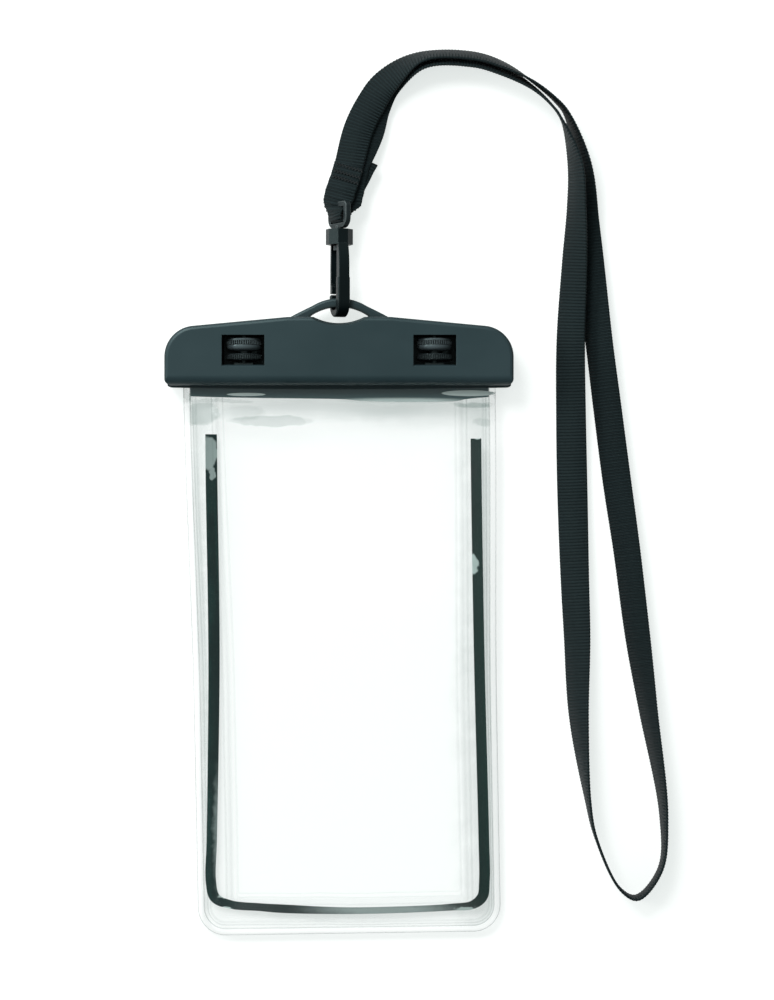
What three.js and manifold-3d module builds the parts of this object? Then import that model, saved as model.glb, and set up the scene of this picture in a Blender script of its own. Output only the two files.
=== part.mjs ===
// Waterproof phone pouch with a two-lock clamp bar, a snap hook and a neck lanyard.
// Millimetres, +Z up. The pouch lies on its back: +X to the right, +Y towards the lanyard.
import * as THREE from 'three';
import * as BufferGeometryUtils from 'three/addons/utils/BufferGeometryUtils.js';
import Module from 'manifold-3d';

const wasm = await Module();
wasm.setup();

// Overall lengths along Y
const pouchLength = 176.1;
const clampHeight = 22.6;
const eyeletRise = 6.5;

// Clamp bar
const clampWidth = 112;
const clampThickness = 15;
const partingHeight = 6.2;
const cornerRadius = 10;
const footCornerRadius = 2;
const shoulderHalf = 16.6;
const shoulderFall = THREE.MathUtils.degToRad(5.35);
const faceFillet = 1.2;
const underFillet = 3;
const lipReach = 0.8;
const lipThickness = 1.05;
const lipBow = 0.5;
const lipWall = 1.3;
const pocketDepth = 4;
const pocketWall = 2.6;

// Eyelet for the lanyard
const eyeletHalf = 9.45;
const eyeletTopSag = 3;
const eyeletFootSag = 2.7;
const eyeletBar = 2.8;
const eyeletBarThickness = 3.2;
const eyeletSink = 0.4;
const eyeletBevel = 0.8;
const eyeletRim = 0.8;
const eyeletRootShare = 0.93;
const eyeletBarSwell = 0.28;

// Windows and turn locks
const windowSpacing = 61.4;
const windowWidth = 13.7;
const windowHeight = 9.6;
const windowFoot = 7.2;
const windowBevel = 0.5;
const wheelRadius = 5.8;
const wheelLength = 7.1;
const wheelDisc = 2.1;
const wheelSetback = 0.8;
const wheelTopGap = 0.9;
const wheelChamfer = 0.5;
const wheelCone = 0.9;
const wheelConeRadius = 3.4;
const wheelCore = 2;
const knurlCount = 40;
const knurlDepth = 0.35;
const axleRadius = 1.2;
const axleReach = 0.9;
const axleBoss = 0.8;
const axleSnap = 2.1;
const camRadius = 3.6;
const camTopAngle = -20;
const camFootAngle = -100;
const catchWidth = 1.3;
const catchThickness = 1.3;
const catchNose = 1.9;
const catchNoseHeight = 1.15;
const backWall = 1.8;

// Rails, seals and film
const filmThickness = 0.5;
const railThickness = 1.95;
const railWidth = 4.6;
const sealWidth = 2;
const sealDepth = 1.15;
const sealTopWall = 0.6;
const ridgeWidth = 0.5;
const ridgeReach = 0.75;
const filmWidth = 101;
const filmFootWidth = 98.2;
const filmLean = 3.3;
const filmCorner = 9;
const weldWidth = 2.1;
const rimFootHeight = 3;

// The flat-sided space that the film is drawn over
const spaceWidth = 72.2;
const spaceLength = 143.9;
const spaceFoot = 13.2;
const spaceHeight = 9.3;

// Border strip
const stripLegSpacing = 85.4;
const stripLegWidth = 3.4;
const stripFootWidth = 2.3;
const stripFootY = 8;
const stripTop = 15.5;
const stripCorner = 4.5;
const stripThickness = 0.35;
const stripBow = 1;

// Snap hook and swivel eye
const hookTurn = THREE.MathUtils.degToRad(18);
const hookWidth = 4.1;
const hookNeckWidth = 3.5;
const hookFrontLeg = 2.8;
const hookNoseLeg = 2;
const hookGap = 5.2;
const hookLength = 23.4;
const hookStep = 10.6;
const hookNoseRise = 4.2;
const hookNoseTip = 0.8;
const hookFloor = 2.4;
const hookFloorGap = 0.9;
const hookInnerBend = 1.5;
const hookShoulder = 15.9;
const hookBevel = 0.5;
const gateThickness = 1;
const gateSetback = 0.2;
const gateKnee = 8.4;
const gateToe = 2.4;
const gateToeSlope = 0.6;
const collarRadius = 4.4;
const collarHeight = 5;
const stemRadius = 1.2;
const stemHeadRadius = 1.9;
const stemHeadHeight = 1.5;
const eyeTurn = THREE.MathUtils.degToRad(31);
const eyeInnerWidth = 8.2;
const eyeInnerHeight = 5.2;
const eyeBar = 1.7;
const eyeThickness = 2;
const eyeBevel = 0.3;

// Lanyard
const strapWidth = 10;
const strapThickness = 1;
const strapLayerPitch = 1.7;
const stepsPerSpan = 3;
const bightWidth = 7.6;
const bightThickness = 4.6;
const sewnWidth = 11.6;
const sewnThickness = 3.4;
const sewnReach = 3.5;
const sewnSteps = 3;

// Clearances
const gap = 0.3;
const turnGap = 0.3;

// Places worked out from the sizes above
const footY = -(pouchLength + clampHeight + eyeletRise) / 2;
const lipY = footY + pouchLength;
const shoulderY = lipY + clampHeight;
const loopTopY = shoulderY + eyeletRise;
const wallY = lipY + lipReach;
const frontPart = partingHeight + gap / 2;
const backPart = partingHeight - gap / 2;
const eyeletTopY = loopTopY - eyeletBar;
const eyeletTipY = eyeletTopY - eyeletTopSag;
const eyeletFootY = eyeletTipY - eyeletFootSag;
const bayFootY = lipY + windowFoot;
const bayTopY = bayFootY + windowHeight;
const wheelTopY = bayTopY - wheelTopGap;
const wheelFootY = wheelTopY - wheelLength;
const wheelAxisZ = clampThickness - wheelSetback - wheelRadius;
const grooveFootY = wheelFootY + wheelDisc;
const grooveTopY = wheelTopY - wheelDisc - wheelCone;
const railFootY = lipY + lipWall + gap;
const railTopY = railFootY + railWidth;
const sealTopY = railTopY - sealTopWall - gap;
const sealFootY = sealTopY - sealWidth;
const filmMouthY = sealFootY - 2 * gap;
const frontRailZ = frontPart + filmThickness + gap;
const backRailZ = backPart - filmThickness - gap;
const spaceLowY = footY + spaceFoot;
const spaceHighY = spaceLowY + spaceLength;
const eyeletZ = partingHeight - eyeletSink;
const hookFloorY = eyeletTopY - hookFloorGap;
const hookFootY = hookFloorY - hookFloor;
const collarY = hookFootY + hookLength;
const eyeY = collarY + collarHeight + gap;
const eyeTopY = eyeY + 2 * eyeBar + eyeInnerHeight;

// Solids and geometries

function toSolid(geometry) {
  const bare = geometry.clone();
  bare.deleteAttribute('normal');
  bare.deleteAttribute('uv');
  const merged = BufferGeometryUtils.mergeVertices(bare, 1e-4);
  const vertProperties = new Float32Array(merged.attributes.position.array);
  const triVerts = new Uint32Array(merged.index.array);
  return new wasm.Manifold(new wasm.Mesh({ numProp: 3, vertProperties, triVerts }));
}

function toGeometry(solid) {
  const mesh = solid.getMesh();
  const geometry = new THREE.BufferGeometry();
  geometry.setAttribute('position', new THREE.BufferAttribute(mesh.vertProperties, 3));
  geometry.setIndex(new THREE.BufferAttribute(mesh.triVerts, 1));
  geometry.computeVertexNormals();
  return geometry;
}

function block(x0, x1, y0, y1, z0, z1) {
  const box = new THREE.BoxGeometry(x1 - x0, y1 - y0, z1 - z0);
  return toSolid(box.translate((x0 + x1) / 2, (y0 + y1) / 2, (z0 + z1) / 2));
}

// A shape drawn in X and Y, raised from z0 to z1
function raised(shape, z0, z1, bevel = 0, curveSegments = 10) {
  const geometry = new THREE.ExtrudeGeometry(shape, {
    depth: z1 - z0 - 2 * bevel,
    curveSegments,
    bevelEnabled: bevel > 0,
    bevelThickness: bevel,
    bevelSize: bevel,
    bevelOffset: -bevel,
    bevelSegments: 3,
  });
  return toSolid(geometry.translate(0, 0, z0 + bevel));
}

// A shape drawn in Y and Z, run from x0 to x1
function runAlongX(shape, x0, x1) {
  const settings = { depth: x1 - x0, curveSegments: 6, bevelEnabled: false };
  const geometry = new THREE.ExtrudeGeometry(shape, settings);
  const turn = new THREE.Matrix4().set(0, 0, 1, x0, 1, 0, 0, 0, 0, 1, 0, 0, 0, 0, 0, 1);
  return toSolid(geometry.applyMatrix4(turn));
}

// A shape drawn in X and Z, run from y0 to y1
function runAlongY(shape, y0, y1) {
  const settings = { depth: y1 - y0, curveSegments: 8, bevelEnabled: false };
  const geometry = new THREE.ExtrudeGeometry(shape, settings);
  return toSolid(geometry.rotateX(Math.PI / 2).translate(0, y1, 0));
}

function polygon(points) {
  return new THREE.Shape(points.map(([x, y]) => new THREE.Vector2(x, y)));
}

function rectangle(x0, x1, y0, y1) {
  return polygon([[x0, y0], [x1, y0], [x1, y1], [x0, y1]]);
}

// A closed skin over rows and columns of points, with a lower and an upper face
function sheet(rows, columns, pointAt) {
  const positions = [];
  const indices = [];
  const at = (row, column, side) => (row * columns + column) * 2 + side;
  const quad = (a, b, c, d) => indices.push(a, b, c, a, c, d);
  for (let row = 0; row < rows; row++) {
    for (let column = 0; column < columns; column++) {
      positions.push(...pointAt(row, column, 0), ...pointAt(row, column, 1));
    }
  }
  for (let row = 0; row < rows - 1; row++) {
    for (let column = 0; column < columns - 1; column++) {
      quad(at(row, column, 1), at(row, column + 1, 1), at(row + 1, column + 1, 1), at(row + 1, column, 1));
      quad(at(row, column, 0), at(row + 1, column, 0), at(row + 1, column + 1, 0), at(row, column + 1, 0));
    }
    const last = columns - 1;
    quad(at(row + 1, 0, 0), at(row, 0, 0), at(row, 0, 1), at(row + 1, 0, 1));
    quad(at(row, last, 0), at(row + 1, last, 0), at(row + 1, last, 1), at(row, last, 1));
  }
  for (let column = 0; column < columns - 1; column++) {
    const last = rows - 1;
    quad(at(0, column, 0), at(0, column + 1, 0), at(0, column + 1, 1), at(0, column, 1));
    quad(at(last, column + 1, 0), at(last, column, 0), at(last, column, 1), at(last, column + 1, 1));
  }
  const geometry = new THREE.BufferGeometry();
  geometry.setAttribute('position', new THREE.Float32BufferAttribute(positions, 3));
  geometry.setIndex(indices);
  return geometry;
}

// A flat band that follows stations, each with a centre, a width direction, a width and a thickness
function band(stations) {
  const placed = stations.map((station, i) => {
    const before = stations[Math.max(i - 1, 0)].centre;
    const after = stations[Math.min(i + 1, stations.length - 1)].centre;
    const along = after.clone().sub(before).normalize();
    const across = station.across.clone().addScaledVector(along, -station.across.dot(along)).normalize();
    return { ...station, across, up: along.clone().cross(across) };
  });
  return sheet(placed.length, 2, (row, column, side) => {
    const { centre, across, up, width, thickness } = placed[row];
    const point = centre.clone().addScaledVector(across, (0.5 - column) * width);
    return point.addScaledVector(up, (side - 0.5) * thickness).toArray();
  });
}

// Clamp bar

// The jaws' outline: straight shoulders that fall to big round corners
function jawOutline() {
  const half = clampWidth / 2;
  const centreX = half - cornerRadius;
  const shoulder = Math.sin(shoulderFall) * shoulderHalf + Math.cos(shoulderFall) * shoulderY;
  const centreY = (shoulder - cornerRadius - Math.sin(shoulderFall) * centreX) / Math.cos(shoulderFall);
  const lean = Math.PI / 2 - shoulderFall;
  const footX = half - footCornerRadius;
  const footCentreY = wallY + footCornerRadius;
  const shape = new THREE.Shape();
  shape.absarc(footX, footCentreY, footCornerRadius, -Math.PI / 2, 0, false);
  shape.absarc(centreX, centreY, cornerRadius, 0, lean, false);
  shape.lineTo(shoulderHalf, shoulderY);
  shape.lineTo(-shoulderHalf, shoulderY);
  shape.absarc(-centreX, centreY, cornerRadius, Math.PI - lean, Math.PI, false);
  shape.absarc(-footX, footCentreY, footCornerRadius, Math.PI, 1.5 * Math.PI, false);
  return shape;
}

// The lip along the foot of each jaw, bowed a little towards the pouch
function lipOutline() {
  const half = clampWidth / 2 - faceFillet / 2;
  const shape = new THREE.Shape();
  shape.moveTo(-half, wallY + footCornerRadius);
  shape.lineTo(-half, lipY + footCornerRadius / 2);
  shape.quadraticCurveTo(-half, lipY + lipBow / 2, -half + footCornerRadius, lipY + lipBow / 2);
  shape.quadraticCurveTo(0, lipY - 1.5 * lipBow, half - footCornerRadius, lipY + lipBow / 2);
  shape.quadraticCurveTo(half, lipY + lipBow / 2, half, lipY + footCornerRadius / 2);
  shape.lineTo(half, wallY + footCornerRadius);
  return shape;
}

function arcRadius(half, sag) {
  return (half * half + sag * sag) / (2 * sag);
}

// The lens-shaped eyelet between two shallow arcs
function eyeletShape() {
  const footRadius = arcRadius(eyeletHalf, eyeletFootSag);
  const topRadius = arcRadius(eyeletHalf, eyeletTopSag);
  const footAngle = Math.asin(eyeletHalf / footRadius);
  const topAngle = Math.asin(eyeletHalf / topRadius);
  const down = -Math.PI / 2;
  const shape = new THREE.Shape();
  shape.absarc(0, eyeletFootY + footRadius, footRadius, down - footAngle, down + footAngle, false);
  shape.absarc(0, eyeletTopY - topRadius, topRadius, -down - topAngle, -down + topAngle, false);
  return shape;
}

// The bar over the eyelet, with flared roots on the jaw's shoulders
function loopShape() {
  const radius = arcRadius(eyeletHalf, eyeletTopSag) + eyeletBarSwell;
  const angle = Math.asin((eyeletRootShare * eyeletHalf) / radius);
  const centreY = loopTopY - radius;
  const rootY = shoulderY + eyeletRise / 4;
  const endX = radius * Math.sin(angle);
  const endY = centreY + radius * Math.cos(angle);
  const shape = new THREE.Shape();
  shape.moveTo(-shoulderHalf, shoulderY - eyeletRise / 2);
  shape.lineTo(shoulderHalf, shoulderY - eyeletRise / 2);
  shape.lineTo(shoulderHalf, shoulderY);
  shape.quadraticCurveTo(shoulderHalf - eyeletBar, rootY, endX, endY);
  shape.absarc(0, centreY, radius, Math.PI / 2 - angle, Math.PI / 2 + angle, false);
  shape.quadraticCurveTo(-shoulderHalf + eyeletBar, rootY, -shoulderHalf, shoulderY);
  return shape;
}

// Hollows between the lock bays and beyond them, as moulded jaws have
function pockets(z0, z1) {
  const bayHalf = windowWidth / 2 + pocketWall;
  const inner = windowSpacing / 2 - bayHalf;
  const outer = windowSpacing / 2 + bayHalf;
  const end = clampWidth / 2 - pocketWall;
  const topY = eyeletFootY - pocketWall;
  const sideTopY = bayTopY - pocketWall;
  return block(-inner, inner, bayFootY, topY, z0, z1)
    .add(block(outer, end, bayFootY, sideTopY, z0, z1))
    .add(block(-end, -outer, bayFootY, sideTopY, z0, z1));
}

function filmPassage(z0, z1) {
  const half = filmWidth / 2 + 2 * gap;
  return block(-half, half, lipY - 2 * lipBow - gap, railFootY, z0, z1);
}

function railChannel(z0, z1) {
  const half = filmWidth / 2 + 2 * gap;
  return block(-half, half, railFootY - gap, railTopY + gap, z0, z1);
}

function makeClampFront() {
  const half = clampWidth / 2 + 1;
  const above = clampThickness + 1;
  const body = raised(jawOutline(), partingHeight - 2 * faceFillet, clampThickness, faceFillet);
  const bendY = wallY + underFillet;
  const bendZ = clampThickness - underFillet;
  const roundedFoot = new THREE.Shape();
  roundedFoot.moveTo(wallY - 1, above);
  roundedFoot.lineTo(wallY - 1, bendZ);
  roundedFoot.lineTo(wallY, bendZ);
  roundedFoot.absarc(bendY, bendZ, underFillet, Math.PI, Math.PI / 2, true);
  roundedFoot.lineTo(bendY, above);
  const lip = raised(lipOutline(), frontPart, frontRailZ + lipThickness);
  const rim = new THREE.ExtrudeGeometry(eyeletShape(), {
    depth: 1, curveSegments: 10, bevelThickness: eyeletRim, bevelSize: eyeletRim, bevelSegments: 2,
  });
  let jaw = body.subtract(runAlongX(roundedFoot, -half, half)).add(lip);
  jaw = jaw.subtract(block(-half, half, footY, loopTopY, 0, frontPart));
  jaw = jaw.subtract(raised(eyeletShape(), 0, above));
  jaw = jaw.subtract(toSolid(rim.translate(0, 0, clampThickness)));
  jaw = jaw.subtract(filmPassage(0, frontRailZ));
  jaw = jaw.subtract(railChannel(0, frontRailZ + railThickness + gap));
  jaw = jaw.subtract(pockets(0, frontPart + pocketDepth));
  for (const x of [-windowSpacing / 2, windowSpacing / 2]) jaw = cutFrontBay(jaw, x);
  return jaw;
}

// One window with its bay, the bevel below it and the snap-in bearings of its wheel
function cutFrontBay(jaw, x) {
  const half = windowWidth / 2;
  const bearing = axleRadius + turnGap;
  const snap = new THREE.Shape();
  snap.absarc(x, wheelAxisZ, bearing, 0, 2 * Math.PI, false);
  const bevelFace = clampThickness - windowBevel;
  const bevel = polygon([
    [bayFootY + gap, bevelFace], [bayFootY + gap, clampThickness + 1],
    [bayFootY - windowBevel - 1, clampThickness + 1], [bayFootY - windowBevel, clampThickness],
    [bayFootY, bevelFace],
  ]);
  const bearingFootY = bayFootY - gap;
  const bearingTopY = bayTopY + axleReach + gap;
  const bossFootY = bayFootY - gap;
  const bossTopY = bayFootY + axleBoss;
  const bossZ = wheelAxisZ + 2 * bearing;
  return jaw.subtract(block(x - half, x + half, bayFootY, bayTopY, 0, clampThickness + 1))
    .subtract(runAlongX(bevel, x - half, x + half))
    .add(block(x - 2 * bearing, x + 2 * bearing, bossFootY, bossTopY, frontPart, bossZ))
    .subtract(runAlongY(snap, bearingFootY, bearingTopY))
    .subtract(block(x - axleSnap / 2, x + axleSnap / 2, bearingFootY, bearingTopY, 0, wheelAxisZ));
}

function makeClampBack() {
  const half = clampWidth / 2 + 1;
  const top = partingHeight + 2 * faceFillet;
  const body = raised(jawOutline(), 0, top, faceFillet);
  const lip = raised(lipOutline(), backRailZ - lipThickness, backPart);
  const barLow = eyeletZ - eyeletBarThickness / 2;
  const loop = raised(loopShape(), barLow, barLow + eyeletBarThickness, eyeletBevel);
  const abovePart = block(-half, half, footY, loopTopY + 1, backPart, top + 1);
  const aboveLoop = block(-half, half, footY, shoulderY + gap, backPart, top + 1);
  let jaw = body.add(lip).subtract(abovePart).add(loop.subtract(aboveLoop));
  jaw = jaw.subtract(raised(eyeletShape(), -1, clampThickness));
  jaw = jaw.subtract(filmPassage(backRailZ, clampThickness));
  jaw = jaw.subtract(railChannel(backRailZ - railThickness - gap, clampThickness));
  jaw = jaw.subtract(pockets(backPart - pocketDepth, backPart + 1));
  const bayHalf = windowWidth / 2;
  for (const x of [-windowSpacing / 2, windowSpacing / 2]) {
    const bay = block(x - bayHalf, x + bayHalf, bayFootY, bayTopY, backWall, clampThickness);
    jaw = jaw.subtract(bay).add(catchPost(x));
  }
  return jaw;
}

// The post whose nose hooks over the wheel's cam while the lock is shut
function catchPost(x) {
  const middle = (grooveFootY + grooveTopY) / 2;
  const postX = x + camRadius + 2 * turnGap;
  const noseZ = wheelAxisZ + camRadius * Math.sin(THREE.MathUtils.degToRad(camTopAngle / 2));
  const shape = polygon([
    [postX, backWall - gap], [postX + catchThickness, backWall - gap],
    [postX + catchThickness, noseZ + catchNoseHeight / 2], [postX, noseZ + catchNoseHeight],
    [postX - catchNose, noseZ + catchNoseHeight / 2], [postX - catchNose, noseZ], [postX, noseZ],
  ]);
  return runAlongY(shape, middle - catchWidth / 2, middle + catchWidth / 2);
}

// Turn lock: two knurled discs, a cone between them, a cam for the catch and stub axles
function makeWheel(x) {
  const outline = [];
  for (let i = 0; i < 2 * knurlCount; i++) {
    const radius = wheelRadius - (i % 2) * knurlDepth;
    const angle = (Math.PI * i) / knurlCount;
    outline.push([radius * Math.cos(angle), radius * Math.sin(angle)]);
  }
  const knurled = runAlongY(polygon(outline), wheelFootY, wheelTopY);
  const chamfered = wheelRadius - wheelChamfer;
  const profile = [
    [0, wheelFootY], [chamfered, wheelFootY], [wheelRadius, wheelFootY + wheelChamfer],
    [wheelRadius, grooveFootY - wheelChamfer / 2], [chamfered, grooveFootY], [wheelCore, grooveFootY],
    [wheelCore, grooveTopY], [wheelConeRadius, grooveTopY], [chamfered, grooveTopY + wheelCone],
    [wheelRadius, grooveTopY + wheelCone + wheelChamfer / 2], [wheelRadius, wheelTopY - wheelChamfer],
    [chamfered, wheelTopY], [0, wheelTopY],
  ];
  const turned = new THREE.LatheGeometry(profile.map(([r, y]) => new THREE.Vector2(r, y)), 24);
  const axleFootY = bayFootY + gap - axleReach / 2;
  const axle = new THREE.CylinderGeometry(axleRadius, axleRadius, bayTopY + axleReach - axleFootY, 16);
  axle.translate(0, (bayTopY + axleReach + axleFootY) / 2, 0);
  const cam = new THREE.Shape();
  cam.moveTo(0, 0);
  const footAngle = THREE.MathUtils.degToRad(camFootAngle);
  cam.absarc(0, 0, camRadius, footAngle, THREE.MathUtils.degToRad(camTopAngle), false);
  return toSolid(turned).intersect(knurled)
    .add(runAlongY(cam, grooveFootY - wheelChamfer, grooveTopY + wheelChamfer))
    .add(toSolid(axle))
    .translate([x, 0, wheelAxisZ]);
}

// Rails and seals

// side is 1 for the front jaw and -1 for the back one
function railProfile(side) {
  const z0 = side > 0 ? frontRailZ : backRailZ;
  const groove = z0 + side * (sealDepth + gap - filmThickness);
  const z1 = z0 + side * railThickness;
  return polygon([
    [railFootY, z0], [sealFootY - gap, z0], [sealFootY - gap, groove], [sealTopY + gap, groove],
    [sealTopY + gap, z0], [railTopY, z0], [railTopY, z1], [railFootY, z1],
  ]);
}

function makeRail(side) {
  return runAlongX(railProfile(side), -filmWidth / 2, filmWidth / 2);
}

function makeFrontSeal() {
  const middle = (sealFootY + sealTopY) / 2;
  const z1 = frontRailZ + sealDepth - filmThickness;
  const tipZ = frontPart - ridgeReach - gap;
  const shape = polygon([
    [sealFootY, z1], [sealFootY, frontPart], [middle - ridgeWidth / 2, frontPart],
    [middle - ridgeWidth / 4, tipZ], [middle + ridgeWidth / 4, tipZ],
    [middle + ridgeWidth / 2, frontPart], [sealTopY, frontPart], [sealTopY, z1],
  ]);
  return runAlongX(shape, -filmWidth / 2, filmWidth / 2);
}

function makeBackSeal() {
  const middle = (sealFootY + sealTopY) / 2;
  const half = ridgeWidth / 2 + gap;
  const z1 = backRailZ - sealDepth + filmThickness;
  const groove = backPart - ridgeReach - gap;
  const shape = polygon([
    [sealFootY, z1], [sealFootY, backPart], [middle - half, backPart], [middle - half, groove],
    [middle + half, groove], [middle + half, backPart], [sealTopY, backPart], [sealTopY, z1],
  ]);
  return runAlongX(shape, -filmWidth / 2, filmWidth / 2);
}

// Film

function filmCentre(y) {
  return filmLean * THREE.MathUtils.clamp((lipY - y) / pouchLength, 0, 1);
}

function filmHalf(y) {
  const fall = THREE.MathUtils.smoothstep(lipY - y, 0, 0.6 * pouchLength);
  const half = THREE.MathUtils.lerp(filmWidth, filmFootWidth, fall) / 2;
  const rise = Math.min(y - footY, filmCorner);
  return half - filmCorner + Math.sqrt(filmCorner ** 2 - (filmCorner - rise) ** 2);
}

function rimHeight(y) {
  const share = THREE.MathUtils.clamp((y - footY) / pouchLength, 0, 1);
  return THREE.MathUtils.lerp(rimFootHeight, partingHeight, share);
}

// How far the film is drawn over the space inside: 0 at the weld, 1 over the space
function filmLift(x, y) {
  const middle = Math.abs(x - filmCentre(y));
  const slopeX = filmFootWidth / 2 - weldWidth - spaceWidth / 2;
  const across = Math.max(middle - spaceWidth / 2, 0) / slopeX;
  const below = Math.max(spaceLowY - y, 0) / (spaceFoot - weldWidth);
  const above = Math.max(y - spaceHighY, 0) / (lipY - gap - spaceHighY);
  const run = Math.min(Math.hypot(across, below, above), 1);
  return 1 - run * run * (3 - 2 * run);
}

function frontFilmZ(x, y) {
  const rim = rimHeight(y) + gap / 2;
  return THREE.MathUtils.lerp(rim, spaceHeight, filmLift(x, y));
}

function backFilmZ(x, y) {
  const rim = rimHeight(y) - gap / 2;
  return THREE.MathUtils.lerp(rim, filmThickness, filmLift(x, y));
}

function spread(from, to, count) {
  return Array.from({ length: count }, (_, i) => from + ((to - from) * i) / count);
}

function filmRows() {
  const rise = (i) => filmCorner * (1 - Math.cos((i * Math.PI) / 12));
  const corner = Array.from({ length: 6 }, (_, i) => footY + rise(i));
  return [
    ...corner, ...spread(footY + filmCorner, spaceLowY, 3), ...spread(spaceLowY, spaceHighY, 6),
    ...spread(spaceHighY, lipY - gap, 8), lipY - gap, filmMouthY,
  ];
}

// Shares of the half width: the weld, the slope beside the space, then the flat
function filmColumns() {
  const half = filmFootWidth / 2;
  const slope = spread(half - weldWidth, spaceWidth / 2, 6);
  const side = [half, ...slope, spaceWidth / 2, spaceWidth / 4];
  return [...side.map((x) => -x), 0, ...side.reverse()].map((x) => x / half);
}

function makeFilm(lowerZ) {
  const rows = filmRows();
  const columns = filmColumns();
  return toSolid(sheet(rows.length, columns.length, (row, column, side) => {
    const y = rows[row];
    const x = filmCentre(y) + columns[column] * filmHalf(y);
    return [x, y, lowerZ(x, y) + side * filmThickness];
  }));
}

// Border strip: a U of flat strip just under the front film

function stripPath() {
  const half = stripLegSpacing / 2;
  const topY = lipY - stripTop;
  const foot = footY + stripFootY;
  const path = [];
  const legRows = spread(topY, foot + stripCorner, 9);
  for (const y of legRows) path.push([-half, y, stripLegWidth]);
  for (let i = 0; i <= 4; i++) {
    const angle = (Math.PI * i) / 8;
    const x = -half + stripCorner * (1 - Math.cos(angle));
    const y = foot + stripCorner * (1 - Math.sin(angle));
    path.push([x, y, THREE.MathUtils.lerp(stripLegWidth, stripFootWidth, i / 4)]);
  }
  const flat = half - stripCorner;
  for (const share of [-0.6, -0.2]) {
    path.push([share * flat, foot - stripBow * (1 - share * share), stripFootWidth]);
  }
  const mirrored = path.map(([x, y, width]) => [-x, y, width]).reverse();
  return [...path, ...mirrored].map(([x, y, width]) => [x + filmCentre(y), y, width]);
}

function makeStrip() {
  const path = stripPath();
  const last = path.length - 1;
  const geometry = sheet(path.length, 2, (row, column, side) => {
    const [x, y, width] = path[row];
    const before = path[Math.max(row - 1, 0)];
    const after = path[Math.min(row + 1, last)];
    const along = new THREE.Vector2(after[0] - before[0], after[1] - before[1]).normalize();
    const reach = (column - 0.5) * width;
    const px = x - along.y * reach;
    const py = y + along.x * reach;
    return [px, py, frontFilmZ(px, py) - gap - stripThickness * (2 - side)];
  });
  return toSolid(flipped(geometry));
}

function flipped(geometry) {
  const index = Array.from(geometry.index.array);
  for (let i = 0; i < index.length; i += 3) [index[i], index[i + 1]] = [index[i + 1], index[i]];
  geometry.setIndex(index);
  return geometry;
}

// Snap hook, drawn with U across its depth and V along Y, then turned about Y

function turnedPlace(geometry, turn) {
  return geometry.rotateY(turn - Math.PI / 2).translate(0, 0, eyeletZ);
}

function hookShape() {
  const inner = hookGap / 2;
  const front = inner + hookFrontLeg;
  const nose = inner + hookNoseLeg;
  const depth = (front + nose) / 2;
  const bend = hookFootY + depth;
  const tip = hookFloorY + hookNoseRise;
  const innerBend = hookFloorY + hookInnerBend;
  const shape = new THREE.Shape();
  shape.moveTo(inner, collarY + gap);
  shape.lineTo(inner, innerBend);
  shape.absellipse(0, innerBend, inner, hookInnerBend, 0, -Math.PI, true);
  shape.lineTo(-inner, tip);
  shape.absellipse(-inner - hookNoseLeg / 2, tip, hookNoseLeg / 2, hookNoseTip, 0, Math.PI, false);
  shape.lineTo(-nose, bend);
  shape.absellipse(front - depth, bend, depth, depth, -Math.PI, 0, false);
  shape.lineTo(front, hookFootY + hookShoulder);
  shape.quadraticCurveTo(front, collarY - hookFrontLeg, collarRadius - gap, collarY + gap);
  return shape;
}

// The gate tongue runs down the hook's open side and stops just above the nose
function gateShape() {
  const outer = hookGap / 2 + hookNoseLeg - gateSetback;
  const footV = hookFloorY + hookNoseRise + hookNoseTip + gap;
  const kneeV = collarY - gateKnee;
  const toeV = footV + gateToe;
  const neck = collarRadius - gap;
  return polygon([
    [-neck, collarY + gap], [-outer, kneeV], [-outer, footV], [-hookGap / 2, footV],
    [-hookGap / 2, toeV], [-outer + gateThickness, toeV + gateToeSlope],
    [-outer + gateThickness, kneeV], [-neck + gateThickness, collarY + gap],
  ]);
}

function makeHook() {
  const half = hookWidth / 2;
  const neck = (hookWidth - hookNeckWidth) / 2;
  const stepY = hookFootY + hookStep + hookNoseRise / 2;
  const reach = collarRadius + hookWidth;
  const aboveStep = (z0, z1) => block(-reach, reach, stepY, collarY, z0, z1);
  const collar = new THREE.CylinderGeometry(collarRadius, collarRadius, collarHeight, 8);
  collar.rotateY(Math.PI / 8).translate(0, collarY + collarHeight / 2, 0);
  const bore = new THREE.CylinderGeometry(stemRadius + turnGap, stemRadius + turnGap, collarHeight + 2, 16);
  bore.translate(0, collarY + collarHeight / 2, 0);
  const hook = raised(hookShape(), -half, half, hookBevel)
    .subtract(aboveStep(-half - 1, -half + neck))
    .subtract(aboveStep(half - neck, half + 1))
    .add(raised(gateShape(), -half + neck, half - neck))
    .add(toSolid(collar))
    .subtract(toSolid(bore));
  return toSolid(turnedPlace(toGeometry(hook), hookTurn));
}

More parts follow.
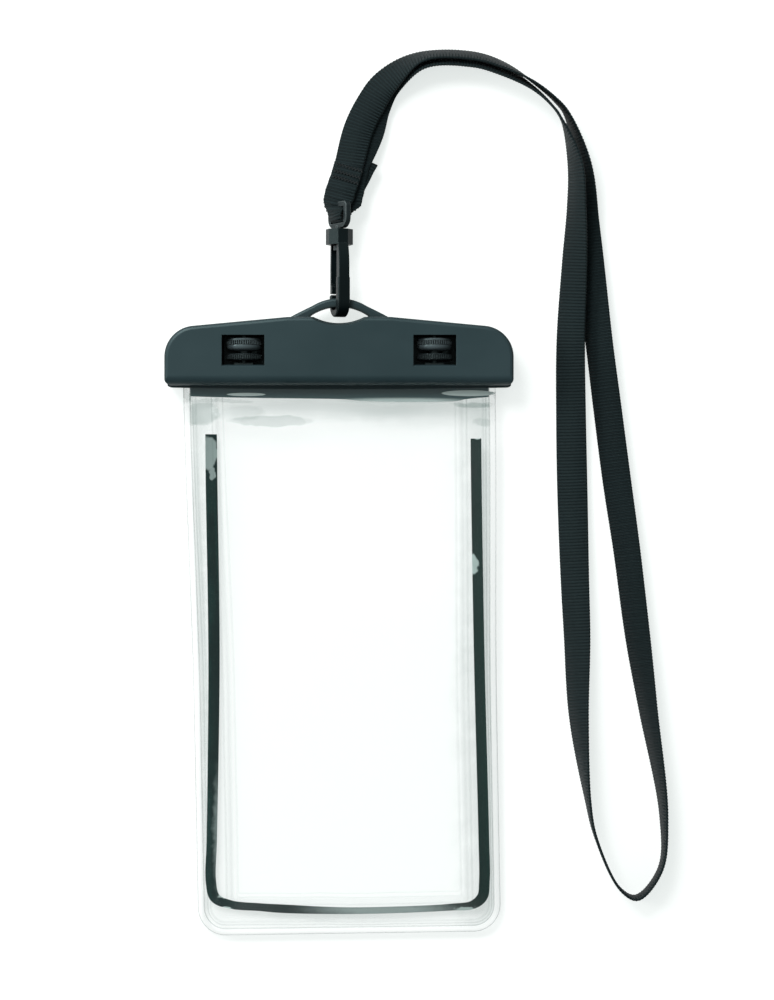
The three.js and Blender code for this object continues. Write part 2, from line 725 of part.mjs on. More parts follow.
// Ring, stem and button head in one piece
function makeSwivelEye() {
  const half = eyeInnerWidth / 2 + eyeBar;
  const ring = new THREE.Shape();
  const top = eyeBar;
  const foot = 2 * eyeBar;
  ring.absarc(half - top, eyeTopY - top, top, 0, Math.PI / 2, false);
  ring.absarc(-half + top, eyeTopY - top, top, Math.PI / 2, Math.PI, false);
  ring.absarc(-half + foot, eyeY + foot, foot, Math.PI, 1.5 * Math.PI, false);
  ring.absarc(half - foot, eyeY + foot, foot, 1.5 * Math.PI, 2 * Math.PI, false);
  ring.holes.push(rectangle(-eyeInnerWidth / 2, eyeInnerWidth / 2, eyeY + eyeBar, eyeTopY - eyeBar));
  const stemFootY = collarY - gap - stemHeadHeight;
  const profile = [
    [0, stemFootY], [stemHeadRadius, stemFootY], [stemHeadRadius, stemFootY + stemHeadHeight],
    [stemRadius, stemFootY + stemHeadHeight], [stemRadius, eyeY + eyeBar / 2], [0, eyeY + eyeBar / 2],
  ];
  const stem = new THREE.LatheGeometry(profile.map(([r, y]) => new THREE.Vector2(r, y)), 16);
  const eye = raised(ring, -eyeThickness / 2, eyeThickness / 2, eyeBevel, 5).add(toSolid(stem));
  return toSolid(turnedPlace(toGeometry(eye), eyeTurn));
}

// Lanyard: each point has X, Y, Z and the bank of the strap, in degrees, turned from flat.
// The width runs to the left of the way along the strap at bank 0 and straight up at bank 90.

const pairRoute = [
  [3.9, 145.6, 4.6, 160], [7.8, 157, 3, 168], [10.9, 165.4, 2.9, 168], [15.2, 172.4, 3.6, 156],
  [26.4, 179.8, 5.8, 120], [43.2, 180.2, 5.9, 116], [52.6, 177.3, 6, 112], [62.3, 171.8, 6.3, 100],
];

const loopRoute = [
  [68.2, 165.2, 8, 90], [71.2, 161, 8.8, 89], [76.6, 146.1, 9.3, 60], [77.9, 131.5, 7.3, 28],
  [76.6, 114.2, 4.4, 23], [75, 89, 3.1, 28], [75.1, 66, 2.6, 20], [75.5, 43.9, 2.2, 15],
  [76.3, 12.3, 3.2, 28], [77, -6.8, 3.8, 37], [77.5, -32.9, 5, 57], [80.4, -59.8, 5.8, 85],
  [82.9, -71.6, 5.9, 90], [90.8, -88.4, 5.9, 90], [96.2, -91.2, 5.9, 90], [103.8, -82, 5.9, 90],
  [104.9, -64.8, 5.8, 98], [99.9, -30.3, 5.1, 120], [96.6, -6.8, 4.2, 137], [93.1, 21.3, 3.7, 144],
  [89.9, 43.9, 3.2, 151], [86.9, 67, 3.2, 150], [84.1, 89, 3.5, 146], [80.8, 116.8, 2.7, 157],
  [79.5, 128.5, 2.9, 153], [78.4, 146.6, 4.9, 120], [73.5, 162.4, 5.6, 92], [69.9, 166.8, 5.9, 88],
];

// Width direction at a point of a route, from its bank and the way along it
function widthAcross(along, bank) {
  const left = new THREE.Vector3(-along.y, along.x, 0).normalize();
  const angle = THREE.MathUtils.degToRad(bank);
  return left.multiplyScalar(Math.cos(angle)).add(new THREE.Vector3(0, 0, Math.sin(angle)));
}

function routeStations(route, width, thickness) {
  const curve = new THREE.CatmullRomCurve3(route.map(([x, y, z]) => new THREE.Vector3(x, y, z)));
  const steps = stepsPerSpan * (route.length - 1);
  return Array.from({ length: steps + 1 }, (_, i) => {
    const share = (i / steps) * (route.length - 1);
    const from = Math.min(Math.floor(share), route.length - 2);
    const bank = THREE.MathUtils.lerp(route[from][3], route[from + 1][3], share - from);
    const centre = curve.getPoint(i / steps);
    return { centre, across: widthAcross(curve.getTangent(i / steps), bank), width, thickness };
  });
}

function makeStrapPair() {
  return toSolid(band(routeStations(pairRoute, strapWidth, strapThickness + strapLayerPitch)));
}

// The open loop starts and ends on the two layers of the doubled stretch, face to face with it
function makeStrapLoop() {
  const pair = routeStations(pairRoute, strapWidth, strapThickness);
  const [before, end] = pair.slice(-2);
  const way = end.centre.clone().sub(before.centre).normalize();
  const apart = way.clone().cross(end.across).multiplyScalar(strapLayerPitch / 2);
  const bank = pairRoute.at(-1)[3];
  const meeting = (reach, side) => {
    const point = end.centre.clone().addScaledVector(way, reach).addScaledVector(apart, side);
    return [...point.toArray(), side > 0 ? bank : 180 - bank];
  };
  const start = [meeting(gap, 1), meeting(strapLayerPitch, 1)];
  const finish = [meeting(strapLayerPitch, -1), meeting(gap, -1)];
  return toSolid(band(routeStations([...start, ...loopRoute, ...finish], strapWidth, strapThickness)));
}

// The sewn end: a bight round the eye's far bar, then stitched layers that turn towards flat
function makeStrapEnd() {
  const inner = bightThickness / 2 - strapThickness;
  const footY = eyeY + eyeBar + gap;
  const holeTopY = eyeTopY + gap;
  const bight = new THREE.Shape();
  bight.moveTo(footY + bightThickness / 2, bightThickness / 2);
  bight.absarc(footY + bightThickness / 2, 0, bightThickness / 2, Math.PI / 2, 1.5 * Math.PI, false);
  bight.lineTo(holeTopY + 2 * strapThickness, -bightThickness / 2);
  bight.lineTo(holeTopY + 2 * strapThickness, bightThickness / 2);
  const hole = new THREE.Path();
  hole.moveTo(footY + bightThickness / 2, inner);
  hole.absarc(footY + bightThickness / 2, 0, inner, Math.PI / 2, 1.5 * Math.PI, false);
  hole.lineTo(holeTopY, -inner);
  hole.lineTo(holeTopY, inner);
  bight.holes.push(hole);
  const loop = turnedPlace(toGeometry(runAlongX(bight, -bightWidth / 2, bightWidth / 2)), eyeTurn);
  const eyeBank = 90 + THREE.MathUtils.radToDeg(eyeTurn);
  const [end, next] = routeStations(pairRoute, strapWidth, strapThickness);
  const way = next.centre.clone().sub(end.centre).normalize();
  const root = new THREE.Vector3(0, holeTopY + strapThickness, eyeletZ);
  const crease = end.centre.clone().addScaledVector(way, -sewnReach);
  const foot = { centre: root, bank: eyeBank, width: bightWidth, thickness: bightThickness };
  const head = { centre: crease, bank: pairRoute[0][3], width: sewnWidth, thickness: sewnThickness };
  const tail = Array.from({ length: sewnSteps + 1 }, (_, i) => {
    const share = i / sewnSteps;
    const bank = THREE.MathUtils.lerp(foot.bank, head.bank, share);
    return {
      centre: foot.centre.clone().lerp(head.centre, share),
      across: widthAcross(new THREE.Vector3(0, 1, 0).lerp(way, share), bank),
      width: THREE.MathUtils.lerp(foot.width, head.width, THREE.MathUtils.smoothstep(share, 0, 1)),
      thickness: THREE.MathUtils.lerp(foot.thickness, head.thickness, share),
    };
  });
  const top = end.centre.clone().addScaledVector(way, -gap);
  tail.push({ ...tail.at(-1), centre: top, across: widthAcross(way, head.bank) });
  return toSolid(loop).add(toSolid(band(tail)));
}

// Model

const finishes = {
  hardPlastic: { color: 0x2f3b3f, roughness: 0.42, metalness: 0 },
  wheelPlastic: { color: 0x1a2224, roughness: 0.35, metalness: 0 },
  hookPlastic: { color: 0x14191b, roughness: 0.4, metalness: 0 },
  softSeal: { color: 0x3a4244, roughness: 0.8, metalness: 0 },
  clearFilm: { color: 0xe8f0ee, roughness: 0.08, metalness: 0, transparent: true, opacity: 0.25 },
  blackStrip: { color: 0x10181a, roughness: 0.3, metalness: 0 },
  webbing: { color: 0x151b1d, roughness: 0.85, metalness: 0 },
};

const model = new THREE.Group();

function addPiece(name, solid, finish) {
  const mesh = new THREE.Mesh(toGeometry(solid), new THREE.MeshStandardMaterial(finishes[finish]));
  mesh.name = name;
  model.add(mesh);
}

addPiece('clamp_front', makeClampFront(), 'hardPlastic');
addPiece('clamp_back', makeClampBack(), 'hardPlastic');
addPiece('lock_wheel_left', makeWheel(-windowSpacing / 2), 'wheelPlastic');
addPiece('lock_wheel_right', makeWheel(windowSpacing / 2), 'wheelPlastic');
addPiece('film_rail_front', makeRail(1), 'hardPlastic');
addPiece('film_rail_back', makeRail(-1), 'hardPlastic');
addPiece('seal_front', makeFrontSeal(), 'softSeal');
addPiece('seal_back', makeBackSeal(), 'softSeal');
addPiece('film_front', makeFilm(frontFilmZ), 'clearFilm');
addPiece('film_back', makeFilm((x, y) => backFilmZ(x, y) - filmThickness), 'clearFilm');
addPiece('border_strip', makeStrip(), 'blackStrip');
addPiece('snap_hook', makeHook(), 'hookPlastic');
addPiece('swivel_eye', makeSwivelEye(), 'hookPlastic');
addPiece('strap_end', makeStrapEnd(), 'webbing');
addPiece('strap_pair', makeStrapPair(), 'webbing');
addPiece('strap_loop', makeStrapLoop(), 'webbing');

export default model;
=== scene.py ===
import math

import bpy
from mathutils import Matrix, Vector, noise


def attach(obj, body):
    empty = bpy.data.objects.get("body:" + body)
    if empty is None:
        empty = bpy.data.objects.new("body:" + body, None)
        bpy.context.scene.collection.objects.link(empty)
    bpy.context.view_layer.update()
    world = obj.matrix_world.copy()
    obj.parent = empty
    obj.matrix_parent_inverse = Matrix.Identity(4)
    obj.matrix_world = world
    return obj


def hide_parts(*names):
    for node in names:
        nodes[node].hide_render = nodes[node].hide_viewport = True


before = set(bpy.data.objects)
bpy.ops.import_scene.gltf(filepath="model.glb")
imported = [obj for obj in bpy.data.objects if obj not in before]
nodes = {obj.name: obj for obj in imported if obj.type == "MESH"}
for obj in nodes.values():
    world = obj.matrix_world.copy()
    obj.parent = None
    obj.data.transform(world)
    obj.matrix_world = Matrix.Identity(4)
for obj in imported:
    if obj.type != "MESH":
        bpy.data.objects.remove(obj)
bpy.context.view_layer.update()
mm = 0.001
print("frame loaded:", len(nodes), "nodes")


# Small helpers for meshes and node trees


def placeObject(name, data):
    made = bpy.data.objects.new(name, data)
    bpy.context.scene.collection.objects.link(made)
    return made


def makeObject(name, vertices, faces, finish, smooth=True):
    mesh = bpy.data.meshes.new(name)
    mesh.from_pydata([tuple(v) for v in vertices], [], faces)
    mesh.update()
    mesh.materials.append(finish)
    if smooth:
        mesh.shade_smooth()
    return placeObject(name, mesh)


def addNode(tree, kind, values=None, **settings):
    # A value that is a socket is linked, any other becomes the input's own value
    node = tree.nodes.new(kind)
    for key, value in settings.items():
        setattr(node, key, value)
    for key, value in (values or {}).items():
        if isinstance(value, bpy.types.NodeSocket):
            tree.links.new(value, node.inputs[key])
        else:
            node.inputs[key].default_value = value
    return node


def blendBetween(start, end, share):
    return start + (end - start) * share


def smoothStep(share):
    held = min(max(share, 0.0), 1.0)
    return held * held * (3 - 2 * held)


def keepNumbers(mesh, label, values):
    mesh.attributes.new(label, "FLOAT", "POINT").data.foreach_set("value", values)


def keepVectors(mesh, label, vectors):
    flat = [part for vector in vectors for part in vector]
    mesh.attributes.new(label, "FLOAT_VECTOR", "POINT").data.foreach_set("vector", flat)


# Camera, straight above, framed as the photograph

shot = {
    "aimX": 15.4 * mm,
    "aimY": 37.4 * mm,
    "planeZ": 8 * mm,
    "distance": 0.9,
    "viewHeight": 322.6 * mm,
    "sensor": 36.0,
}
cameraData = bpy.data.cameras.new("camera")
cameraData.sensor_fit = "VERTICAL"
cameraData.sensor_height = shot["sensor"]
cameraData.lens = shot["sensor"] * shot["distance"] / shot["viewHeight"]
camera = placeObject("camera", cameraData)
camera.location = (shot["aimX"], shot["aimY"], shot["planeZ"] + shot["distance"])
bpy.context.scene.camera = camera


# Lanyard: one run of ribbed webbing, out along the pair, round the loop and back along the pair

lanyard = {
    "width": 10 * mm,
    "coreThickness": 0.72 * mm,
    "ribThickness": 0.88 * mm,
    "ribPitch": 1.02 * mm,
    "ribShare": 0.84,
    "layerPitch": 1.7 * mm,
    "spread": (0.6, 1.6, 0.7, 0, 0, 0, 0, 0),  # millimetres that the pair's layers lie off it sideways
    "fan": 4.0,  # degrees that they lean apart
    "fanReach": 3,  # points of the route over which they do
    "steps": 14,
}
# Each point is x, y, z in millimetres and the bank, the webbing's turn out of the floor in degrees
pairRoute = [
    (3.9, 145.6, 4.6, 160), (7.8, 157, 3, 168), (10.9, 165.4, 2.9, 168), (15.2, 172.4, 3.6, 156),
    (26.4, 179.8, 5.8, 120), (43.2, 180.2, 5.9, 116), (52.6, 177.3, 6, 112), (62.3, 171.8, 6.3, 100),
]
loopRoute = [
    (68.2, 165.2, 8, 98), (71.2, 161, 8.8, 97), (76, 146.1, 9.3, 68), (76.6, 131.5, 7.3, 58),
    (76.1, 114.2, 4.9, 42), (75, 89, 3.1, 28), (75.1, 66, 2.6, 20), (75.5, 43.9, 2.2, 15),
    (76.3, 12.3, 3.2, 28), (77, -6.8, 3.8, 37), (77.5, -32.9, 5, 57), (80.4, -59.8, 5.8, 85),
    (82.9, -71.6, 5.9, 90), (90.8, -88.4, 5.9, 90), (96.2, -91.2, 5.9, 90), (103.8, -82, 5.9, 90),
    (104.9, -64.8, 5.8, 98), (99.9, -30.3, 5.1, 120), (96.6, -6.8, 4.2, 137), (93.1, 21.3, 3.7, 144),
    (89.9, 43.9, 3.2, 151), (86.9, 67, 3.2, 150), (84.1, 89, 3.5, 146), (80.8, 116.8, 2.7, 157),
    (79.5, 128.5, 2.9, 153), (78.4, 146.6, 4.9, 120), (73.5, 162.4, 5.6, 92), (69.9, 166.8, 5.9, 88),
]


def smoothRoute(points, steps):
    # Centripetal Catmull-Rom through the points, each a list of numbers whose first three are its place
    before = [2 * a - b for a, b in zip(points[0], points[1])]
    after = [2 * a - b for a, b in zip(points[-1], points[-2])]
    knots = [before, *points, after]
    made = []
    for i in range(1, len(knots) - 2):
        p0, p1, p2, p3 = knots[i - 1 : i + 3]
        d0, d1, d2 = (math.dist(a[:3], b[:3]) ** 0.5 for a, b in ((p0, p1), (p1, p2), (p2, p3)))
        for step in range(steps + (i == len(knots) - 3)):
            t = step / steps
            made.append([hermite(t, a, b, c, d, d0, d1, d2) for a, b, c, d in zip(p0, p1, p2, p3)])
    return made


def hermite(t, a, b, c, d, d0, d1, d2):
    leave = ((b - a) / d0 - (c - a) / (d0 + d1) + (c - b) / d1) * d1
    arrive = ((c - b) / d1 - (d - b) / (d1 + d2) + (d - c) / d2) * d1
    cubic = 2 * b - 2 * c + leave + arrive
    square = -3 * b + 3 * c - 2 * leave - arrive
    return cubic * t**3 + square * t**2 + leave * t + b


def acrossAt(along, bank):
    left = Vector((-along.y, along.x, 0)).normalized()
    angle = math.radians(bank)
    return left * math.cos(angle) + Vector((0, 0, math.sin(angle)))


def routeWay(route, i):
    before, after = route[max(i - 1, 0)], route[min(i + 1, len(route) - 1)]
    return (Vector(after[:3]) - Vector(before[:3])).normalized()


def layerPoints(side):
    # One layer of the pair: the route's points moved off it along the webbing's face normal
    made = []
    for i, (x, y, z, bank) in enumerate(pairRoute):
        way = routeWay(pairRoute, i)
        lean = lanyard["fan"] * side * smoothStep(i / lanyard["fanReach"])
        across = acrossAt(way, bank)
        face = way.cross(across)
        place = Vector((x, y, z)) + face * (side * lanyard["layerPitch"] / 2 / mm)
        place += across * (side * lanyard["spread"][i])
        made.append([*place, bank + lean])
    return made


def layerAround():
    inner = layerPoints(1)
    outer = [[x, y, z, 180 - bank] for x, y, z, bank in reversed(layerPoints(-1))]
    return smoothRoute([*inner, *loopRoute, *outer], lanyard["steps"])


stations = layerAround()
strapRun = [
    (Vector(spot[:3]), acrossAt(routeWay(stations, i), spot[3]), 1.0) for i, spot in enumerate(stations)
]


# Geometry Nodes helpers


def newTree(name, sockets):
    # sockets: name to kind, each a named input after the geometry one
    tree = bpy.data.node_groups.new(name, "GeometryNodeTree")
    tree.interface.new_socket("Geometry", in_out="INPUT", socket_type="NodeSocketGeometry")
    tree.interface.new_socket("Geometry", in_out="OUTPUT", socket_type="NodeSocketGeometry")
    for label, kind in sockets.items():
        tree.interface.new_socket(label, in_out="INPUT", socket_type="NodeSocket" + kind)
    return tree, tree.nodes.new("NodeGroupInput").outputs, tree.nodes.new("NodeGroupOutput").inputs


def useTree(made, tree, values):
    # The tree's result becomes the object's own plain mesh
    modifier = made.modifiers.new(tree.name, "NODES")
    modifier.node_group = tree
    for item in tree.interface.items_tree:
        if item.in_out == "INPUT" and item.name in values:
            modifier[item.identifier] = values[item.name]
    graph = bpy.context.evaluated_depsgraph_get()
    mesh = bpy.data.meshes.new_from_object(made.evaluated_get(graph))
    made.modifiers.clear()
    made.data = mesh
    return made


def mathNode(tree, operation, *values):
    return addNode(tree, "ShaderNodeMath", dict(enumerate(values)), operation=operation).outputs[0]


def product(tree, *values):
    held = values[0]
    for value in values[1:]:
        held = mathNode(tree, "MULTIPLY", held, value)
    return held


def partsOf(tree, vector):
    return addNode(tree, "ShaderNodeSeparateXYZ", {0: vector}).outputs


def vectorOf(tree, x, y, z):
    return addNode(tree, "ShaderNodeCombineXYZ", {0: x, 1: y, 2: z}).outputs[0]


def unitRod(tree, sides):
    values = {"Vertices": sides, "Radius": 0.5, "Depth": 1.0}
    return addNode(tree, "GeometryNodeMeshCylinder", values, fill_type="NGON").outputs["Mesh"]


def finishTree(tree, out, geometry, material, smooth=False):
    # Instances are made real, because the export drops them
    real = geoNode(tree, "RealizeInstances", {"Geometry": geometry})
    if smooth:
        real = geoNode(tree, "SetShadeSmooth", {"Geometry": real})
    dressed = geoNode(tree, "SetMaterial", {"Geometry": real, "Material": material})
    tree.links.new(dressed, out["Geometry"])
    return tree


def geoNode(tree, kind, values=None, **settings):
    return addNode(tree, "GeometryNode" + kind, values, **settings).outputs[0]


def storeField(tree, geometry, label, value):
    values = {"Geometry": geometry, "Name": label, "Value": value}
    return geoNode(tree, "StoreNamedAttribute", values, data_type="FLOAT", domain="POINT")


def readField(tree, label, kind="FLOAT"):
    node = addNode(tree, "GeometryNodeInputNamedAttribute", {"Name": label}, data_type=kind)
    return next(socket for socket in node.outputs if socket.enabled)


# Shader helpers


def newFinish(name, settings):
    # Constants go on the shader's own sockets
    finish = bpy.data.materials.new(name)
    finish.use_nodes = True
    shader = finish.node_tree.nodes["Principled BSDF"]
    for key, value in settings.items():
        shader.inputs[key].default_value = value
    return finish, finish.node_tree, shader


def drive(tree, shader, values):
    for key, value in values.items():
        tree.links.new(value, shader.inputs[key])


def colourSteps(tree, factor, steps):
    ramp = addNode(tree, "ShaderNodeValToRGB", {"Fac": factor})
    for element, (place, colour) in zip(ramp.color_ramp.elements, steps):
        element.position = place
        element.color = (*colour, 1)
    return ramp.outputs["Color"]


def objectPlace(tree):
    return addNode(tree, "ShaderNodeTexCoord").outputs["Object"]


def objectNoise(tree, scale, detail=3.0, stretch=(1, 1, 1)):
    turned = addNode(tree, "ShaderNodeMapping", {"Vector": objectPlace(tree), "Scale": stretch})
    values = {"Vector": turned.outputs[0], "Scale": scale, "Detail": detail}
    return addNode(tree, "ShaderNodeTexNoise", values).outputs["Fac"]


def fieldOf(tree, label):
    return addNode(tree, "ShaderNodeAttribute", None, attribute_name=label).outputs["Fac"]


def bumpOf(tree, height, distance, under=None):
    relief = {"Height": height, "Distance": distance}
    if under:
        relief["Normal"] = under
    return addNode(tree, "ShaderNodeBump", relief).outputs[0]


def rangeOf(tree, value, start, end, low=0.0, high=1.0, **settings):
    # low to high as the value goes from start to end
    values = {"Value": value, "From Min": start, "From Max": end, "To Min": low, "To Max": high}
    return addNode(tree, "ShaderNodeMapRange", values, **settings).outputs[0]


def vectorNode(tree, operation, values, output="Vector"):
    return addNode(tree, "ShaderNodeVectorMath", values, operation=operation).outputs[output]


def mixColour(tree, share, low, high):
    ends = [end if isinstance(end, bpy.types.NodeSocket) else (*end, 1) for end in (low, high)]
    values = {0: share, 6: ends[0], 7: ends[1]}
    return addNode(tree, "ShaderNodeMix", values, data_type="RGBA").outputs[2]


def ovalAt(tree, place, oval):
    # Its amount inside the oval and 0 outside it
    (x, y), (reachX, reachY), amount, soft = oval
    values = {"Location": (-x / reachX, -y / reachY, 0), "Scale": (1 / reachX, 1 / reachY, 0)}
    fitted = addNode(tree, "ShaderNodeMapping", {"Vector": place, **values}).outputs[0]
    away = vectorNode(tree, "LENGTH", {0: fitted}, "Value")
    return rangeOf(tree, away, 1 - soft, 1 + soft, amount, 0.0, interpolation_type="SMOOTHSTEP")


def strongest(tree, amounts):
    held = amounts[0]
    for amount in amounts[1:]:
        held = mathNode(tree, "MAXIMUM", held, amount)
    return held


def farFrom(tree, place, middle):
    return mathNode(tree, "ABSOLUTE", mathNode(tree, "SUBTRACT", place, middle))


def lineAt(tree, place, middle, width):
    # 1 on the line, falling to 0 at its width to either side
    return rangeOf(tree, farFrom(tree, place, middle), 0.0, width, 1.0, 0.0)


def tornPlaces(tree, scale, reach):
    # Places in millimetres, straight and bent by noise: ovals drawn on the bent ones get torn edges
    place = vectorNode(tree, "SCALE", {0: objectPlace(tree), "Scale": 1 / mm})
    ripple = addNode(tree, "ShaderNodeTexNoise", {"Vector": place, "Scale": scale, "Detail": 2.5})
    middle = vectorNode(tree, "SUBTRACT", {0: ripple.outputs["Color"], 1: (0.5, 0.5, 0.5)})
    return place, vectorNode(tree, "MULTIPLY_ADD", {0: middle, 1: reach, 2: place})


def dress(finish, *names):
    for name in names:
        nodes[name].data.materials.clear()
        nodes[name].data.materials.append(finish)


# Moulded plastics and rubber of the clamp, its rails and seals, the locks, the hook and the eye

# Each look's edge colour is a painted highlight along rounded edges, and its recess is how far the
# painted recess shade reaches
clampLook = {
    "dark": (0.0105, 0.0255, 0.0305),
    "light": (0.020, 0.039, 0.0455),
    "edge": (0.060, 0.088, 0.090),
    "rough": (0.36, 0.48),
    "gloss": 0.42,
    "bevel": 0.35 * mm,
    "grain": 0.010 * mm,
    "recess": 7 * mm,
}
lockLook = {
    **clampLook,
    "dark": (0.046, 0.064, 0.070),
    "light": (0.070, 0.094, 0.102),
    "edge": (0.18, 0.225, 0.235),
    "rough": (0.24, 0.34),
    "recess": 1.1 * mm,
}
hookLook = {
    **clampLook,
    "dark": (0.0015, 0.0035, 0.0042),
    "light": (0.004, 0.0085, 0.0095),
    "edge": (0.12, 0.155, 0.155),
    "gloss": 0.2,
    "rough": (0.26, 0.38),
    "bevel": 0.28 * mm,
    "recess": 2.5 * mm,
}
eyeLook = {
    **hookLook,
    "dark": (0.012, 0.018, 0.020),
    "light": (0.026, 0.036, 0.038),
    "edge": (0.40, 0.47, 0.47),
    "bevel": 0.4 * mm,
    "recess": 1.5 * mm,
}
railLook = {**clampLook, "dark": (0.008, 0.014, 0.015), "light": (0.013, 0.020, 0.022)}
sealLook = {
    **clampLook,
    "dark": (0.020, 0.028, 0.030),
    "light": (0.032, 0.042, 0.044),
    "rough": (0.66, 0.8),
    "gloss": 0.25,
}
plasticMake = {
    "tint": (0.75, 1.0, 1.0, 1.0),
    "cloud": (26, (0.32, 0.70)),  # noise scale, and where on it the dark and the light tone lie
    "open": (0.25, 0.65),  # ambient occlusion, from a deep recess to an open face, that the painted recess shade follows
    "recessShadeShare": 0.12,  # of the dark tone, kept where the painted recess shade is full
    "shade": (0.0015, 0.0035, 0.0038),
    "turn": (0.99, 0.8),  # how far an edge's rounding turns the face where the painted edge highlight starts and is full
    # noise scale and spread that break up the painted edge highlight like rubbed wear
    "rubAndHighlight": (190, (0.25, 0.9)),
    "satin": 95,
    "grainScale": 2400,
}
clampShades = {
    # In millimetres: the window's middle and half size, and for each rim its arc's centre and radius
    "window": {"X": (30.7, 7.0), "Y": (85.85, 5.3), "Z": (8, 6.5)},
    "windowDark": 0.85,
    "endTurn": (0.3, 0.8, 0.6),  # sideways facing where the shade starts and is full, and its strength
    "rims": [(112.0, 18.0, "LESS_THAN"), (83.42, 16.5, "GREATER_THAN")],  # and its side of the split
    "rimSplit": 96.8,
    "rimHalf": 10,
    "rimWidth": 0.8,
    "rimDark": 0.9,
}


def clampShade(tree):
    # Painted shade inside the lock windows and along the eyelet's two arcs, and a painted dark reflection
    # on the clamp's two ends
    parts = partsOf(tree, objectPlace(tree))
    aside = mathNode(tree, "ABSOLUTE", parts["X"])
    inside = clampShades["windowDark"]
    for label, (middle, reach) in clampShades["window"].items():
        away = farFrom(tree, aside if label == "X" else parts[label], middle * mm)
        inside = product(tree, inside, mathNode(tree, "LESS_THAN", away, reach * mm))
    facing = addNode(tree, "ShaderNodeNewGeometry").outputs["Normal"]
    turned = mathNode(tree, "ABSOLUTE", partsOf(tree, facing)["X"])
    start, end, strength = clampShades["endTurn"]
    shades = [inside, rangeOf(tree, turned, start, end, 0.0, strength)]
    near = mathNode(tree, "LESS_THAN", aside, clampShades["rimHalf"] * mm)
    for centre, radius, test in clampShades["rims"]:
        up = mathNode(tree, "SUBTRACT", parts["Y"], centre * mm)
        square = mathNode(tree, "MULTIPLY_ADD", up, up, product(tree, aside, aside))
        away = mathNode(tree, "SQRT", square)
        side = mathNode(tree, test, parts["Y"], clampShades["rimSplit"] * mm)
        rim = lineAt(tree, away, radius * mm, clampShades["rimWidth"] * mm)
        shades.append(product(tree, rim, near, side, clampShades["rimDark"]))
    return strongest(tree, shades)


lockShades = {"groove": 0.9, "stub": 0.85, "foot": (85.7, 84.6, 0.72)}


def lockShade(tree):
    # Painted shade between the ribs, on the foot disc and on the stubs
    groove = product(tree, fieldOf(tree, "groove"), lockShades["groove"])
    height = partsOf(tree, objectPlace(tree))["Y"]
    high, low, strength = lockShades["foot"]
    foot = rangeOf(tree, height, high * mm, low * mm, 0.0, strength)
    stub = mathNode(tree, "GREATER_THAN", height, (lock["discTop"] + 0.02) * mm)
    return strongest(tree, [groove, foot, product(tree, stub, lockShades["stub"])])


def makePlastic(name, look, shadeOf=None):
    constants = {"IOR": 1.5, "Specular IOR Level": look["gloss"], "Specular Tint": plasticMake["tint"]}
    finish, tree, shader = newFinish(name, constants)
    scale, (darkAt, lightAt) = plasticMake["cloud"]
    cloud = objectNoise(tree, scale, 3, (1, 1.6, 1))
    tone = colourSteps(tree, cloud, [(darkAt, look["dark"]), (lightAt, look["light"])])
    # Painted shade darkens deep recesses, and edges get a painted highlight, broken up like rubbed wear
    clear = addNode(tree, "ShaderNodeAmbientOcclusion", {"Distance": look["recess"]}, samples=2)
    depth = rangeOf(tree, clear.outputs["AO"], *plasticMake["open"])
    tone = mixColour(tree, depth, [plasticMake["recessShadeShare"] * part for part in look["dark"]], tone)
    if shadeOf:
        shade = shadeOf(tree)
        depth = product(tree, depth, mathNode(tree, "SUBTRACT", 1.0, shade))
        tone = mixColour(tree, shade, tone, plasticMake["shade"])
    rounded = addNode(tree, "ShaderNodeBevel", {"Radius": look["bevel"]}, samples=2).outputs[0]
    facing = addNode(tree, "ShaderNodeNewGeometry").outputs["Normal"]
    meet = vectorNode(tree, "DOT_PRODUCT", {0: rounded, 1: facing}, "Value")
    scale, spread = plasticMake["rubAndHighlight"]
    worn = rangeOf(tree, objectNoise(tree, scale, 2), 0.0, 1.0, *spread)
    # Painted highlight on rounded edges, weaker inside the painted recess shade
    rubAndHighlight = product(tree, rangeOf(tree, meet, *plasticMake["turn"]), worn, depth)
    tone = mixColour(tree, rubAndHighlight, tone, look["edge"])
    satin = rangeOf(tree, objectNoise(tree, plasticMake["satin"], 4), 0.0, 1.0, *look["rough"])
    grain = bumpOf(tree, objectNoise(tree, plasticMake["grainScale"], 2), look["grain"], rounded)
    drive(tree, shader, {"Base Color": tone, "Roughness": satin, "Normal": grain})
    return finish


dress(makePlastic("clamp plastic", clampLook, clampShade), "clamp_front", "clamp_back")
dress(makePlastic("rail plastic", railLook), "film_rail_front", "film_rail_back")
dress(makePlastic("seal rubber", sealLook), "seal_front", "seal_back")
dress(makePlastic("hook plastic", hookLook), "snap_hook")
dress(makePlastic("eye plastic", eyeLook), "swivel_eye")


# Pale reflections along the border strip: centre and reach in millimetres, strength and softness
stripGlints = [
    ((-42.3, 52.6), (2.6, 5.3), 0.75, 0.12),
    ((-41.2, 46.4), (0.9, 2.4), 0.7, 0.2),
    ((43.0, 16.4), (1.9, 3.3), 0.8, 0.15),
    ((44.6, 57.6), (1.5, 0.5), 0.9, 0.2),
    ((-37.6, -91.2), (1.9, 0.8), 0.85, 0.25),
    ((-38.4, -95.2), (3.4, 0.5), 0.9, 0.2),
    ((14, -95.4), (20, 2.6), 0.42, 0.6),
    ((41.5, -95.4), (4.2, 0.8), 0.6, 0.3),
    ((-39.6, -70), (1.2, 15), 0.34, 0.7),
]
stripLook = {
    "left": (-44.0, (0.016, 0.032, 0.032)),  # x in millimetres, and the tone there
    "right": (10.0, (0.002, 0.006, 0.006)),
    "worn": (0.3, (0.020, 0.034, 0.034)),
    "glint": (0.60, 0.75, 0.72),
    "tear": (0.5, (2.2, 2.6, 0)),  # noise scale, and how far it bends the glints' edges
}


